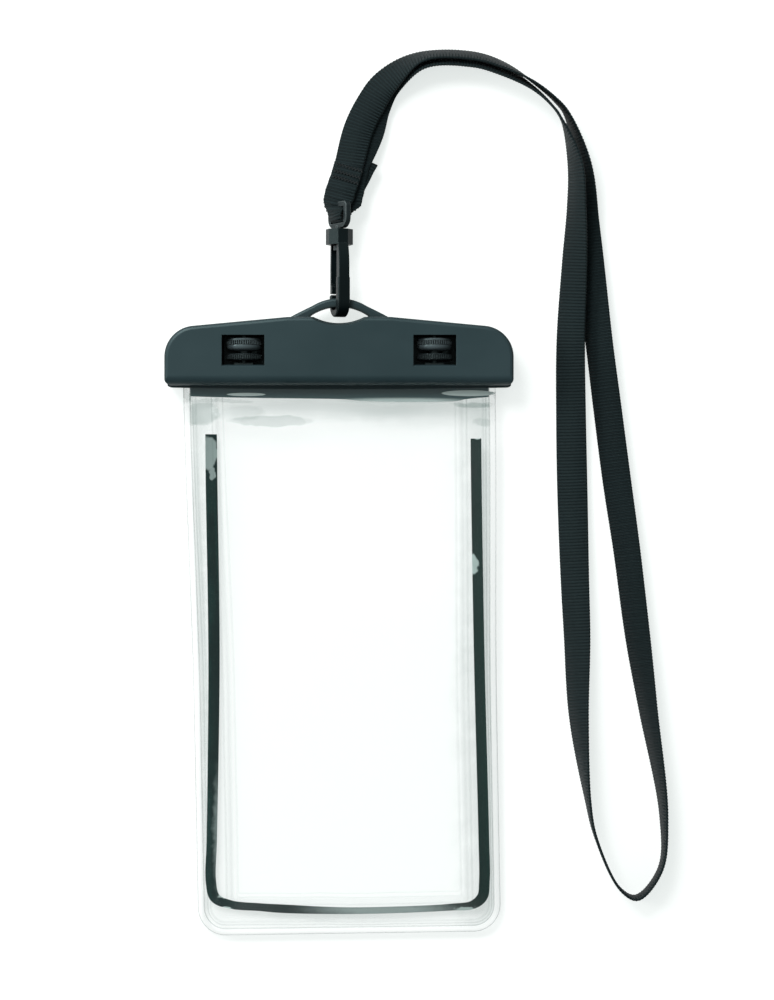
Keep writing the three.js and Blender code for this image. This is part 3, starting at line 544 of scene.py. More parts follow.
def makeBorderFinish():
    # Flat black film strip, painted a little paler towards its left leg as a sheen of the film over it
    finish, tree, shader = newFinish("border strip", {"Roughness": 0.5, "Specular IOR Level": 0.3})
    place, torn = tornPlaces(tree, *stripLook["tear"])
    (left, leftTone), (right, rightTone) = stripLook["left"], stripLook["right"]
    tone = mixColour(tree, rangeOf(tree, partsOf(tree, place)["X"], left, right), leftTone, rightTone)
    amount, wornTone = stripLook["worn"]
    tone = mixColour(tree, product(tree, objectNoise(tree, 120, 4), amount), tone, wornTone)
    pale = strongest(tree, [ovalAt(tree, torn, oval) for oval in stripGlints])
    tone = mixColour(tree, pale, tone, stripLook["glint"])
    grain = bumpOf(tree, objectNoise(tree, 700, 2), 0.02 * mm)
    drive(tree, shader, {"Base Color": tone, "Normal": grain})
    return finish


print("plastics dressed")


# Turn locks: a turned body with a groove, and two bands of fine ribs set round it

lock = {
    "bodyInset": 0.5,  # millimetres, as is all in this dictionary; the ribs stand out of the body by this
    "topBand": (87.4, 88.65),
    "footBand": (82.75, 84.0),
    "ribs": 48,
    "ribWidth": 0.36,
    "stub": 1.2,
    "discTop": 89.4,
    "discFoot": 82.3,
    "camRadius": 3.6,
    "camY": (84.0, 86.6),
    "camAngles": (-100, -20),
    # The narrow waist and the cone above it, as radius and Y
    "waist": [(2.0, 84.45), (2.0, 85.3), (3.4, 85.4)],
    "cone": [(4.7, 85.6), (5.35, 85.9), (5.66, 86.3), (5.72, 86.8), (5.66, 87.2)],
}


def lockProfile(radius):
    # Radius and Y from the foot stub to the top stub
    core = radius - lock["bodyInset"]
    footLow, footHigh = lock["footBand"]
    topLow, topHigh = lock["topBand"]
    return [
        (lock["stub"], lock["discFoot"]), (radius - 0.75, lock["discFoot"]),
        (radius - 0.1, footLow - 0.1), (core, footLow), (core, footHigh),
        (radius - 0.12, footHigh + 0.08), (radius - 0.5, 84.4),
        *lock["waist"], *lock["cone"],
        (core, topLow), (core, topHigh), (radius - 0.05, topHigh + 0.04), (radius - 0.05, topHigh + 0.5),
        (radius - 0.3, lock["discTop"]), (lock["stub"], lock["discTop"]),
    ]


def turnedBody(profile, steps):
    # The profile turned about the Y axis, closed at both ends
    vertices, faces = [], []
    for radius, y in profile:
        for i in range(steps):
            angle = 2 * math.pi * i / steps
            vertices.append(Vector((radius * math.cos(angle), y, radius * math.sin(angle))))
    for row in range(len(profile) - 1):
        for i in range(steps):
            a, b = row * steps + i, row * steps + (i + 1) % steps
            faces.append((a, a + steps, b + steps, b))
    last = (len(profile) - 1) * steps
    faces.append(tuple(range(steps)))
    faces.append(tuple(reversed(range(last, last + steps))))
    return vertices, faces


def camPrism(first, steps=8):
    low, high = lock["camY"]
    start, stop = (math.radians(angle) for angle in lock["camAngles"])
    around = [(0, 0)]
    for i in range(steps + 1):
        angle = blendBetween(start, stop, i / steps)
        around.append((lock["camRadius"] * math.cos(angle), lock["camRadius"] * math.sin(angle)))
    count = len(around)
    vertices = [Vector((x, y, z)) for y in (low, high) for x, z in around]
    faces = [tuple(range(first, first + count)), tuple(reversed(range(first + count, first + 2 * count)))]
    for i in range(count):
        j = (i + 1) % count
        faces.append((first + i, first + count + i, first + count + j, first + j))
    return vertices, faces


def ribBandTree():
    sizes = ("Ring Radius", "Rib Width", "Top Middle", "Top Height", "Foot Middle", "Foot Height")
    sockets = {"Ribs": "Int", **dict.fromkeys(sizes, "Float"), "Centre": "Vector", "Material": "Material"}
    tree, given, out = newTree("lock ribs", sockets)
    values = {"Vertices": given["Ribs"], "Radius": given["Ring Radius"]}
    ring = geoNode(tree, "MeshCircle", values)
    rod = unitRod(tree, 8)
    width = given["Rib Width"]
    joined = tree.nodes.new("GeometryNodeJoinGeometry")
    for band in ("Top", "Foot"):
        size = vectorOf(tree, width, width, given[band + " Height"])
        values = {"Points": ring, "Instance": rod, "Scale": size}
        ribs = geoNode(tree, "InstanceOnPoints", values)
        # The ring is laid flat, so a quarter turn brings its axis along Y
        moved = vectorOf(tree, 0.0, given[band + " Middle"], 0.0)
        values = {"Geometry": ribs, "Translation": moved, "Rotation": (math.pi / 2, 0, 0)}
        tree.links.new(geoNode(tree, "Transform", values), joined.inputs[0])
    tree.links.new(given["Geometry"], joined.inputs[0])
    values = {"Geometry": joined.outputs[0], "Translation": given["Centre"]}
    placed = geoNode(tree, "Transform", values)
    return finishTree(tree, out, placed, given["Material"])


def makeLock(side, finish):
    node = nodes["lock_wheel_" + side]
    corners = [node.matrix_world @ vertex.co for vertex in node.data.vertices]
    low, high = (Vector([pick(c[k] for c in corners) for k in range(3)]) / mm for pick in (min, max))
    radius = (high.x - low.x) / 2
    profile = [(lock["stub"], low.y), *lockProfile(radius), (lock["stub"], high.y)]
    vertices, faces = turnedBody(profile, 64)
    camVertices, camFaces = camPrism(len(vertices))
    body = makeObject("lock_" + side, [v * mm for v in vertices + camVertices], faces + camFaces, finish)
    bands = [y for band in ("topBand", "footBand") for y in lock[band]]
    heights = [vertex.co.y / mm for vertex in body.data.vertices]
    grooved = [float(any(abs(height - y) < 0.01 for y in bands)) for height in heights]
    keepNumbers(body.data, "groove", grooved)
    body.data.set_sharp_from_angle(angle=math.radians(38))
    values = {
        "Ribs": lock["ribs"],
        "Ring Radius": (radius - lock["ribWidth"] / 2) * mm,
        "Rib Width": lock["ribWidth"] * mm,
        "Centre": ((low.x + high.x) / 2 * mm, 0, (low.z + high.z) / 2 * mm),
        "Material": finish,
    }
    for band, (foot, top) in (("Top", lock["topBand"]), ("Foot", lock["footBand"])):
        values[band + " Middle"] = (foot + top) / 2 * mm
        values[band + " Height"] = (top - foot) * mm
    made = useTree(body, lockRibs, values)
    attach(made, side + "_lock")
    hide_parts("lock_wheel_" + side)
    return made


lockRibs = ribBandTree()
lockFinish = makePlastic("lock plastic", lockLook, lockShade)
locks = [makeLock(side, lockFinish) for side in ("left", "right")]
print("locks made:", len(locks[0].data.polygons), "faces each")


# Webbing finish: dark polyester, with painted highlight on the rib crowns and painted shade in the
# valleys, fine yarns along the length

webbingLook = {
    "tint": (0.75, 1.0, 1.0, 1.0),
    "valley": (0.15, (0.0018, 0.0042, 0.0050)),  # height of the weave, and the tone there
    "crown": (0.95, (0.0078, 0.0158, 0.0180)),
    "shares": (0.6, 0.25, 0.3),  # what ribs, yarns and wear add to that height
    "yarnPitch": 0.42 * mm,
    "yarnDepth": 0.05 * mm,
    "ribDepth": 0.12 * mm,
}


def waveOf(tree, place, pitch):
    # 0 to 1 to 0 once for each pitch
    turned = product(tree, place, 2 * math.pi / pitch)
    return mathNode(tree, "MULTIPLY_ADD", mathNode(tree, "COSINE", turned), 0.5, 0.5)


def makeWebbingFinish():
    gloss = {"Roughness": 0.6, "Specular IOR Level": 0.2, "Specular Tint": webbingLook["tint"]}
    finish, tree, shader = newFinish("webbing", {**gloss, "Sheen Weight": 0.05, "Sheen Roughness": 0.4})
    along = fieldOf(tree, "along")
    rib = waveOf(tree, along, lanyard["ribPitch"])
    yarn = waveOf(tree, fieldOf(tree, "span"), webbingLook["yarnPitch"])
    # Neighbouring yarns pass over the ribs in turn
    check = mathNode(tree, "PINGPONG", product(tree, along, 1 / lanyard["ribPitch"]), 1)
    ribShare, yarnShare, wearShare = webbingLook["shares"]
    tone = product(tree, rib, ribShare)
    tone = mathNode(tree, "MULTIPLY_ADD", product(tree, yarn, check), yarnShare, tone)
    tone = mathNode(tree, "MULTIPLY_ADD", objectNoise(tree, 60, 4), wearShare, tone)
    # Ramp from painted shade in the valleys to painted highlight on the crowns
    tone = colourSteps(tree, tone, [webbingLook["valley"], webbingLook["crown"]])
    threads = mathNode(tree, "ADD", yarn, objectNoise(tree, 2600, 2))
    relief = bumpOf(tree, threads, webbingLook["yarnDepth"], bumpOf(tree, rib, webbingLook["ribDepth"]))
    drive(tree, shader, {"Base Color": tone, "Normal": relief})
    return finish


webbing = makeWebbingFinish()


def webbingTree():
    # The guide line becomes a flat core with a row of ribs across it on both faces
    sizes = ("Width", "Core Thickness", "Rib Thickness", "Rib Pitch", "Rib Length")
    sockets = {**dict.fromkeys(sizes, "Float"), "Material": "Material"}
    tree, given, out = newTree("webbing along a route", sockets)
    line = geoNode(tree, "MeshToCurve", {"Mesh": given["Geometry"]})
    distance = addNode(tree, "GeometryNodeSplineParameter").outputs["Length"]
    line = storeField(tree, line, "along", distance)
    face = readField(tree, "face", "FLOAT_VECTOR")
    values = {"Curve": line, "Normal": face}
    faced = geoNode(tree, "SetCurveNormal", values, mode="FREE")
    values = {"Width": given["Core Thickness"], "Height": given["Width"]}
    outline = geoNode(tree, "CurvePrimitiveQuadrilateral", values)
    values = {"Curve": outline, "Count": 2, "Radius": product(tree, given["Core Thickness"], 0.4)}
    outline = geoNode(tree, "FilletCurve", values, mode="POLY")
    place = partsOf(tree, geoNode(tree, "InputPosition"))
    outline = storeField(tree, outline, "span", place["Y"])
    girth = readField(tree, "girth")
    values = {"Curve": faced, "Profile Curve": outline, "Scale": girth, "Fill Caps": True}
    core = geoNode(tree, "CurveToMesh", values)
    values = {"Curve": line, "Length": given["Rib Pitch"]}
    spots = geoNode(tree, "ResampleCurve", values, mode="LENGTH")
    values = {"Geometry": unitRod(tree, 8), "Rotation": (0, math.pi / 2, 0)}
    lying = geoNode(tree, "Transform", values)
    ribWidth = product(tree, given["Width"], 0.985)
    size = vectorOf(tree, ribWidth, given["Rib Length"], given["Rib Thickness"])
    rib = geoNode(tree, "Transform", {"Geometry": lying, "Scale": size})
    rib = storeField(tree, rib, "span", place["X"])
    values = {"Primary Axis": readField(tree, "across", "FLOAT_VECTOR"), "Secondary Axis": face}
    turn = addNode(tree, "FunctionNodeAxesToRotation", values, primary_axis="X", secondary_axis="Z")
    values = {"Points": spots, "Instance": rib, "Rotation": turn.outputs[0]}
    values["Scale"] = vectorOf(tree, girth, 1.0, 1.0)
    ribs = geoNode(tree, "InstanceOnPoints", values)
    joined = tree.nodes.new("GeometryNodeJoinGeometry")
    for part in (ribs, core):
        tree.links.new(part, joined.inputs[0])
    return finishTree(tree, out, joined.outputs[0], given["Material"], smooth=True)


def makeWebbingRun(name, run, size):
    # run: places in millimetres, each with the webbing's width way and its girth, 1 where it lies free
    places = [place for place, across, girth in run]
    ways = [routeWay(places, i) for i in range(len(places))]
    sides = [across for place, across, girth in run]
    levels = [(across - way * across.dot(way)).normalized() for across, way in zip(sides, ways)]
    guide = bpy.data.meshes.new(name)
    edges = [(i, i + 1) for i in range(len(places) - 1)]
    guide.from_pydata([tuple(place * mm) for place in places], edges, [])
    keepVectors(guide, "across", levels)
    keepVectors(guide, "face", [level.cross(way).normalized() for level, way in zip(levels, ways)])
    keepNumbers(guide, "girth", [girth for place, across, girth in run])
    values = {
        "Width": size["width"],
        "Core Thickness": size["coreThickness"],
        "Rib Thickness": size["ribThickness"],
        "Rib Pitch": size["ribPitch"],
        "Rib Length": size["ribPitch"] * size["ribShare"],
        "Material": webbing,
    }
    return useTree(placeObject(name, guide), webbingRun, values)


webbingRun = webbingTree()
strap = makeWebbingRun("lanyard", strapRun, lanyard)
print("lanyard made:", len(strap.data.polygons), "faces")


# Sewn end: the webbing's bight through the eye, bunched and turned flat, with a cut tail and bar tacks

sewn = {
    "eyeTurn": 31.0,
    "eyeZ": 5.8,
    "bightFoot": 127.5,
    "bightHalf": 1.75,
    "bightShare": 0.74,  # the webbing's width where it is bunched through the eye
    "bightSteps": 12,
    "legSteps": 12,
    "legGirth": 1.02,
    "legEase": 3.2,  # how soon a leg has its full width and the pair's bank
    "layerHalf": 0.95,
    "gap": 0.2,  # from the legs to the pair's first point
    "bulge": (0.6, 0.1),  # how far the upper and the lower leg swing out sideways
    "bulgeSkew": 0.6,
    "foldDepth": 0.28,
    "foldScale": 0.55,
    "foldSeed": 3,
    "calm": (143, 4),  # the creases end above this y, over this length
    "tailTop": (7.9, 147.6, 3.7),
    "tailFoot": (2.9, 138.0, 4.7),
    "tailBank": 166,
    "tailSteps": 8,
    "tailFold": 0.12,
    "tackRows": (140.6, 142.4, 144.6),
    "tackHalf": 8,  # stitches to either side of a row's middle
    "tackStep": 0.56,
    "tackLean": 0.55,
    "tackLift": 0.02,
    "stitchLength": 1.25,
    "stitchWidth": 0.34,
}


def bightStations():
    # Down the front of the eye's bar, round it and up behind; each is a place, a width way and a girth
    turn = math.radians(sewn["eyeTurn"])
    upWay = Vector((math.sin(turn), 0, math.cos(turn)))
    outWay = Vector((upWay.z, 0, -upWay.x))
    half = sewn["bightHalf"]
    made = []
    for i in range(sewn["bightSteps"] + 1):
        angle = math.pi * i / sewn["bightSteps"]
        place = outWay * (-half * math.cos(angle))
        place += Vector((0, sewn["bightFoot"] + half - half * math.sin(angle), sewn["eyeZ"]))
        made.append((place, upWay, sewn["bightShare"]))
    return made


def pairStart():
    # Where the pair begins, with the webbing's own way, its width way and its face way there
    way = routeWay(pairRoute, 0)
    across = acrossAt(way, pairRoute[0][3])
    return Vector(pairRoute[0][:3]), way, across, way.cross(across)


def sewnStations():
    # The lower layer of the pair turns back through the eye into the upper one
    first, way, across, face = pairStart()
    bight = bightStations()
    made = []
    for side in (-1, 1):
        near = bight[0] if side < 0 else bight[-1]
        aside = face * sewn["layerHalf"] + across * lanyard["spread"][0]
        far = first - way * sewn["gap"] + aside * side
        leg = []
        for i in range(1, sewn["legSteps"]):
            share = i / sewn["legSteps"]
            place = near[0].lerp(far, share)
            swing = math.sin(math.pi * share ** sewn["bulgeSkew"]) * (1 - share)
            place.x += sewn["bulge"][side > 0] * swing * side
            ease = smoothStep(share * sewn["legEase"])
            width = blendBetween(near[2], sewn["legGirth"], ease)
            leg.append((place, near[1].lerp(across, ease).normalized(), width))
        leg.append((far, across, sewn["legGirth"]))
        made = leg[::-1] + bight if side < 0 else made + leg
    return made


def tailStations():
    top, foot = Vector(sewn["tailTop"]), Vector(sewn["tailFoot"])
    across = acrossAt((top - foot).normalized(), sewn["tailBank"])
    return [(foot.lerp(top, i / sewn["tailSteps"]), across, 1.0) for i in range(sewn["tailSteps"] + 1)]


def crumple(made, depth):
    # Small creases where the webbing is bunched
    noise.seed_set(sewn["foldSeed"])
    calmFrom, calmOver = sewn["calm"]
    for vertex in made.data.vertices:
        place = vertex.co / mm
        calm = smoothStep((place.y - calmFrom) / calmOver)
        vertex.co += noise.noise_vector(place * sewn["foldScale"]) * (depth * (1 - calm) * mm)
    made.data.update()


bunched = {**lanyard, "ribPitch": 0.95 * mm, "ribThickness": 0.86 * mm, "coreThickness": 0.7 * mm}
sewnEnd = makeWebbingRun("lanyard_sewn_end", sewnStations(), bunched)
crumple(sewnEnd, sewn["foldDepth"])
pressed = {**bunched, "coreThickness": 0.5 * mm, "ribThickness": 0.62 * mm}
cutTail = makeWebbingRun("lanyard_cut_tail", tailStations(), pressed)
crumple(cutTail, sewn["tailFold"])


def stitchTree():
    # A row of thread stitches, one on each of the guide's points
    sockets = {"Stitch Length": "Float", "Stitch Width": "Float", "Material": "Material"}
    tree, given, out = newTree("bar tack", sockets)
    spots = geoNode(tree, "MeshToPoints", {"Mesh": given["Geometry"]})
    size = vectorOf(tree, given["Stitch Width"], given["Stitch Width"], given["Stitch Length"])
    way = readField(tree, "way", "FLOAT_VECTOR")
    turn = addNode(tree, "FunctionNodeAxesToRotation", {"Primary Axis": way}, primary_axis="Z").outputs[0]
    values = {"Points": spots, "Instance": unitRod(tree, 6), "Rotation": turn, "Scale": size}
    laid = geoNode(tree, "InstanceOnPoints", values)
    return finishTree(tree, out, laid, given["Material"])


def makeThreadFinish():
    finish, tree, shader = newFinish("sewing thread", {"Roughness": 0.6, "Specular IOR Level": 0.3})
    twist = objectNoise(tree, 1800, 2)
    tone = colourSteps(tree, twist, [(0.3, (0.003, 0.006, 0.007)), (0.7, (0.009, 0.015, 0.016))])
    drive(tree, shader, {"Base Color": tone, "Normal": bumpOf(tree, twist, 0.04 * mm)})
    return finish


def makeBarTacks():
    # Zigzag rows across both faces of the sewn layers
    first, way, across, face = pairStart()
    step, half = sewn["tackStep"], sewn["tackHalf"]
    lift = sewn["layerHalf"] + bunched["ribThickness"] / 2 / mm + sewn["tackLift"]
    places, ways = [], []
    for row in sewn["tackRows"]:
        middle = first + way * ((row - first.y) / way.y)
        for side in (-1, 1):
            for i in range(-half, half + 1):
                lean = way * (sewn["tackLean"] if i % 2 else -sewn["tackLean"])
                places.append((middle + face * side * lift + across * i * step) * mm)
                ways.append((across * step + lean).normalized())
    guide = bpy.data.meshes.new("lanyard_bar_tacks")
    guide.from_pydata([tuple(place) for place in places], [], [])
    keepVectors(guide, "way", ways)
    values = {
        "Stitch Length": sewn["stitchLength"] * mm,
        "Stitch Width": sewn["stitchWidth"] * mm,
        "Material": makeThreadFinish(),
    }
    return useTree(placeObject("lanyard_bar_tacks", guide), stitchTree(), values)


barTacks = makeBarTacks()
for piece in (sewnEnd, cutTail, barTacks):
    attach(piece, "root")
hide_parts("strap_end")
print("sewn end made")


# Film pouch: two clear sheets welded along the sides and foot, in the filled form

pouch = {
    "length": 176.1,  # millimetres, as is all in this dictionary
    "footY": -102.6,
    "lipY": 73.5,
    "mouthY": 76.2,
    "mouthWidth": 101,
    "footWidth": 98.2,
    "lean": 3.3,
    "corner": 9,
    "weld": 2.1,
    "rimFoot": 3,
    "rimMouth": 6.2,
    "spaceWidth": 72.2,
    "spaceLow": -89.4,
    "spaceHigh": 54.5,
    "spaceTop": 9.3,
    "thickness": 0.5,
    "sheetGap": (0.02, 0.15, 2),  # half the sheets' gap in the weld and past it, and the way between
    "frontWave": 0.42,
    "backWave": 0.25,
    "calmRim": 6,  # the ruffles fade in over this from the weld
    "calmLip": (2, 8),  # and out over the second length, up to the first one below the lip
    "folds": (0.045, 0.018, 0.75),  # noise scales across and along, and share of the wave
    "dents": (0.13, 0.09, 0.4),
    "footSkew": 1.25,
    "bead": 0.16,
    "cutBead": (0.45, 0.32),  # distance from the cut edge, and width
    "weldBead": (0.22, 0.8),  # width, and share of the bead
    "weldColumns": 9,
    "footRows": (20, 4.2, 1.3),  # rows round the corners, their reach, and how they crowd to the edge
    "rowStep": 1.05,
    "columnStep": 1.1,
}


def filmCentre(y):
    return pouch["lean"] * min(max((pouch["lipY"] - y) / pouch["length"], 0), 1)


def filmHalf(y):
    fall = smoothStep((pouch["lipY"] - y) / (0.6 * pouch["length"]))
    return blendBetween(pouch["mouthWidth"], pouch["footWidth"], fall) / 2


def roundedHalf(y):
    rise = min(y - pouch["footY"], pouch["corner"])
    return filmHalf(y) - pouch["corner"] + math.sqrt(pouch["corner"] ** 2 - (pouch["corner"] - rise) ** 2)


def rimHeight(y):
    share = min(max((y - pouch["footY"]) / pouch["length"], 0), 1)
    return blendBetween(pouch["rimFoot"], pouch["rimMouth"], share)


def filmLift(x, y):
    side = max(abs(x - filmCentre(y)) - pouch["spaceWidth"] / 2, 0)
    across = side / (pouch["footWidth"] / 2 - pouch["weld"] - pouch["spaceWidth"] / 2)
    below = max(pouch["spaceLow"] - y, 0) / (pouch["spaceLow"] - pouch["footY"] - pouch["weld"])
    above = max(y - pouch["spaceHigh"], 0) / (pouch["lipY"] - 0.3 - pouch["spaceHigh"])
    return 1 - smoothStep(math.hypot(across, below, above))


def rimDistance(x, y):
    # How far a place lies inside the film's outline, the mouth left out
    inX = pouch["corner"] - (filmHalf(y) - abs(x - filmCentre(y)))
    inY = pouch["corner"] - (y - pouch["footY"])
    if inX <= 0 and inY <= 0:
        return pouch["corner"] - max(inX, inY)
    return pouch["corner"] - math.hypot(max(inX, 0), max(inY, 0))


def filmRuffle(x, y, reach, seed):
    # Long soft folds that run out from the filled middle, and small dents
    below, over = pouch["calmLip"]
    free = smoothStep((rimDistance(x, y) - pouch["weld"]) / pouch["calmRim"])
    free *= smoothStep((pouch["lipY"] - below - y) / over)
    height = 0.5
    for (scaleX, scaleY, share), shift in ((pouch["folds"], 0), (pouch["dents"], 5)):
        height += share * noise.noise(Vector((x * scaleX, y * scaleY, seed + shift)))
    return reach * free * height


def bump(distance, middle, width):
    return math.exp(-(((distance - middle) / width) ** 2))


def weldBead(x, y):
    distance = rimDistance(x, y)
    width, share = pouch["weldBead"]
    height = bump(distance, *pouch["cutBead"]) + share * bump(distance, pouch["weld"], width)
    return pouch["bead"] * height


def sheetGap(x, y):
    inWeld, past, over = pouch["sheetGap"]
    return blendBetween(inWeld, past, smoothStep((rimDistance(x, y) - pouch["weld"]) / over))


def frontFilm(x, y):
    # Lower and upper face
    wave = max(filmRuffle(x, y, pouch["frontWave"], 3), 0)
    low = blendBetween(rimHeight(y) + sheetGap(x, y), pouch["spaceTop"], filmLift(x, y)) + wave
    return low, low + pouch["thickness"] + weldBead(x, y)


def backFilm(x, y):
    wave = filmRuffle(x, y, pouch["backWave"], 9) * (1 - filmLift(x, y))
    rim = rimHeight(y) - sheetGap(x, y)
    high = blendBetween(rim, pouch["thickness"], filmLift(x, y)) + max(wave, 0)
    return max(high - pouch["thickness"] - weldBead(x, y), 0), high


def filmPlaces():
    # Columns as shares of the half width, close together in the weld, and rows close together at the foot
    weldShare = 2 * pouch["weld"] / pouch["footWidth"]
    inner = round(pouch["footWidth"] / pouch["columnStep"])
    weld = [weldShare * i / pouch["weldColumns"] for i in range(pouch["weldColumns"])]
    middle = [weldShare + (2 - 2 * weldShare) * i / inner for i in range(inner + 1)]
    columns = [-1 + share for share in weld + middle] + [1 - share for share in reversed(weld)]
    count, reach, crowd = pouch["footRows"]
    footRows = [pouch["footY"] + 0.02 + reach * (i / count) ** crowd for i in range(count)]
    rise = pouch["mouthY"] - footRows[-1]
    count = round(rise / pouch["rowStep"])
    return footRows + [footRows[-1] + rise * i / count for i in range(1, count + 1)], columns


def makeFilm(name, heights, finish):
    rows, columns = filmPlaces()
    under, over, distances = [], [], []
    for y in rows:
        fall = smoothStep((pouch["lipY"] - y) / pouch["length"])
        for share in columns:
            x = filmCentre(y) + share * roundedHalf(y)
            low, high = heights(x, y)
            placed = y - pouch["footSkew"] * (1 - share) / 2 * fall
            under.append(Vector((x, placed, low)) * mm)
            over.append(Vector((x, placed, high)) * mm)
            distances.append(rimDistance(x, y))
    wide, count = len(columns), len(under)
    faces = []
    for r in range(len(rows) - 1):
        for c in range(wide - 1):
            a, b = r * wide + c, (r + 1) * wide + c
            faces.append((a, b, b + 1, a + 1))
            faces.append((a + count, a + 1 + count, b + 1 + count, b + count))
    border = list(range(wide)) + [r * wide + wide - 1 for r in range(1, len(rows))]
    border += [(len(rows) - 1) * wide + c for c in range(wide - 2, -1, -1)]
    border += [r * wide for r in range(len(rows) - 2, 0, -1)]
    for i, a in enumerate(border):
        b = border[(i + 1) % len(border)]
        faces.append((a, b, b + count, a + count))
    film = makeObject(name, under + over, faces, finish)
    keepNumbers(film.data, "rim", distances + distances)
    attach(film, "root")
    return film


filmLook = {
    "tint": (0.04, 0.16, 0.13),
    "pale": (0.60, 0.74, 0.71),
    "clampReflection": (0.062, 0.108, 0.112),
    "clampReflectionAlpha": 0.96,
    "seamShadow": 0.95,
    "frontHaze": 0.014,
    "backHaze": 0.036,
    "leastHaze": 0.3,  # of the haze, where its clouds are thinnest
    "clouds": (1.5, 0.7),  # shares of the broad and the small ones
    "weldClear": 0.7,
    "seamHaze": 0.10,
    "seamLines": [(pouch["weld"], 0.3), (0.1, 0.35)],  # distance from the outline and width
    "seamWear": (0.3, 1.5),
    "slant": (0.35, 4, 0.3),  # blend, power and strength of the painted reflection on slanting film
    "streakDrift": 2.4,
    "tear": (0.16, (9, 2.6, 0)),
}
# Soft ovals of shade on the front sheet: centre and reach in millimetres, strength and softness
filmShades = [
    ((47.4, -14), (7, 110), 0.11, 0.9),
    ((-45.8, -14), (3.6, 96), 0.07, 0.7),
    ((-45.2, 65.2), (6.6, 3.6), 0.16, 0.2),
    ((-22, 62.9), (12.5, 1.7), 0.12, 0.15),
    ((-32, 65.6), (8, 2.4), 0.07, 0.25),
    ((-38, 69.4), (9, 0.7), 0.09, 0.25),
    ((-2, 66.8), (30, 3.4), 0.06, 0.5),
    ((30, 65.5), (26, 4.6), 0.05, 0.5),
    ((43.4, 68.1), (6.5, 0.8), 0.16, 0.3),
    ((46.4, 62.6), (3.2, 1.2), 0.08, 0.35),
    ((-10, -97.4), (26, 1.5), 0.03, 0.5),
    ((-49.2, 71.4), (1.6, 2.6), 0.5, 0.4),
    ((51, 71.6), (1.4, 2.2), 0.3, 0.4),
]
# Painted shade streaks on both sheets, where they slant: distance from the outline and width in
# millimetres, and strength
filmShadeStreaks = [
    (4.4, 0.35, 0.05), (5.3, 0.7, 0.03), (10.6, 0.45, 0.045), (12.2, 1.1, 0.03), (14.2, 0.4, 0.03),
]
# Painted pale lens-shaped reflections in the painted dark reflection of the clamp
clampReflectionGlints = [
    ((-30.1, 71.5), (5.9, 0.5), 0.9, 0.10),
    ((41.9, 71.9), (8.4, 0.9), 0.85, 0.10),
    ((20, 69.4), (19, 0.9), 0.22, 0.5),
]
# The lower edge of the painted dark reflection of the clamp under the lip: x and y in millimetres
clampReflectionEdge = [
    (-50.5, 71.1), (-47.7, 70.9), (-27.6, 70.4), (-10.8, 70.2), (0.2, 70.0), (10, 69.3), (27.3, 69.1),
    (36.5, 69.3), (40.8, 70.0), (48.4, 70.7), (52.2, 70.9),
]


def clampReflectionMask(tree, place, rim):
    # 1 between the lip and the wavy edge of the painted dark reflection of the clamp
    parts = partsOf(tree, place)
    left, right = clampReflectionEdge[0][0], clampReflectionEdge[-1][0]
    low, high = min(y for x, y in clampReflectionEdge) - 1, max(y for x, y in clampReflectionEdge) + 1
    bend = addNode(tree, "ShaderNodeFloatCurve", {"Value": rangeOf(tree, parts["X"], left, right)})
    curve = bend.mapping.curves[0]
    spots = [((x - left) / (right - left), (y - low) / (high - low)) for x, y in clampReflectionEdge]
    curve.points[0].location, curve.points[1].location = spots[0], spots[-1]
    for spot in spots[1:-1]:
        curve.points.new(*spot)
    bend.mapping.update()
    edge = mathNode(tree, "MULTIPLY_ADD", bend.outputs[0], high - low, low)
    mask = rangeOf(tree, mathNode(tree, "SUBTRACT", parts["Y"], edge), -0.1, 0.12)
    return product(tree, mask, rangeOf(tree, rim, pouch["weld"], pouch["weld"] + 0.3))


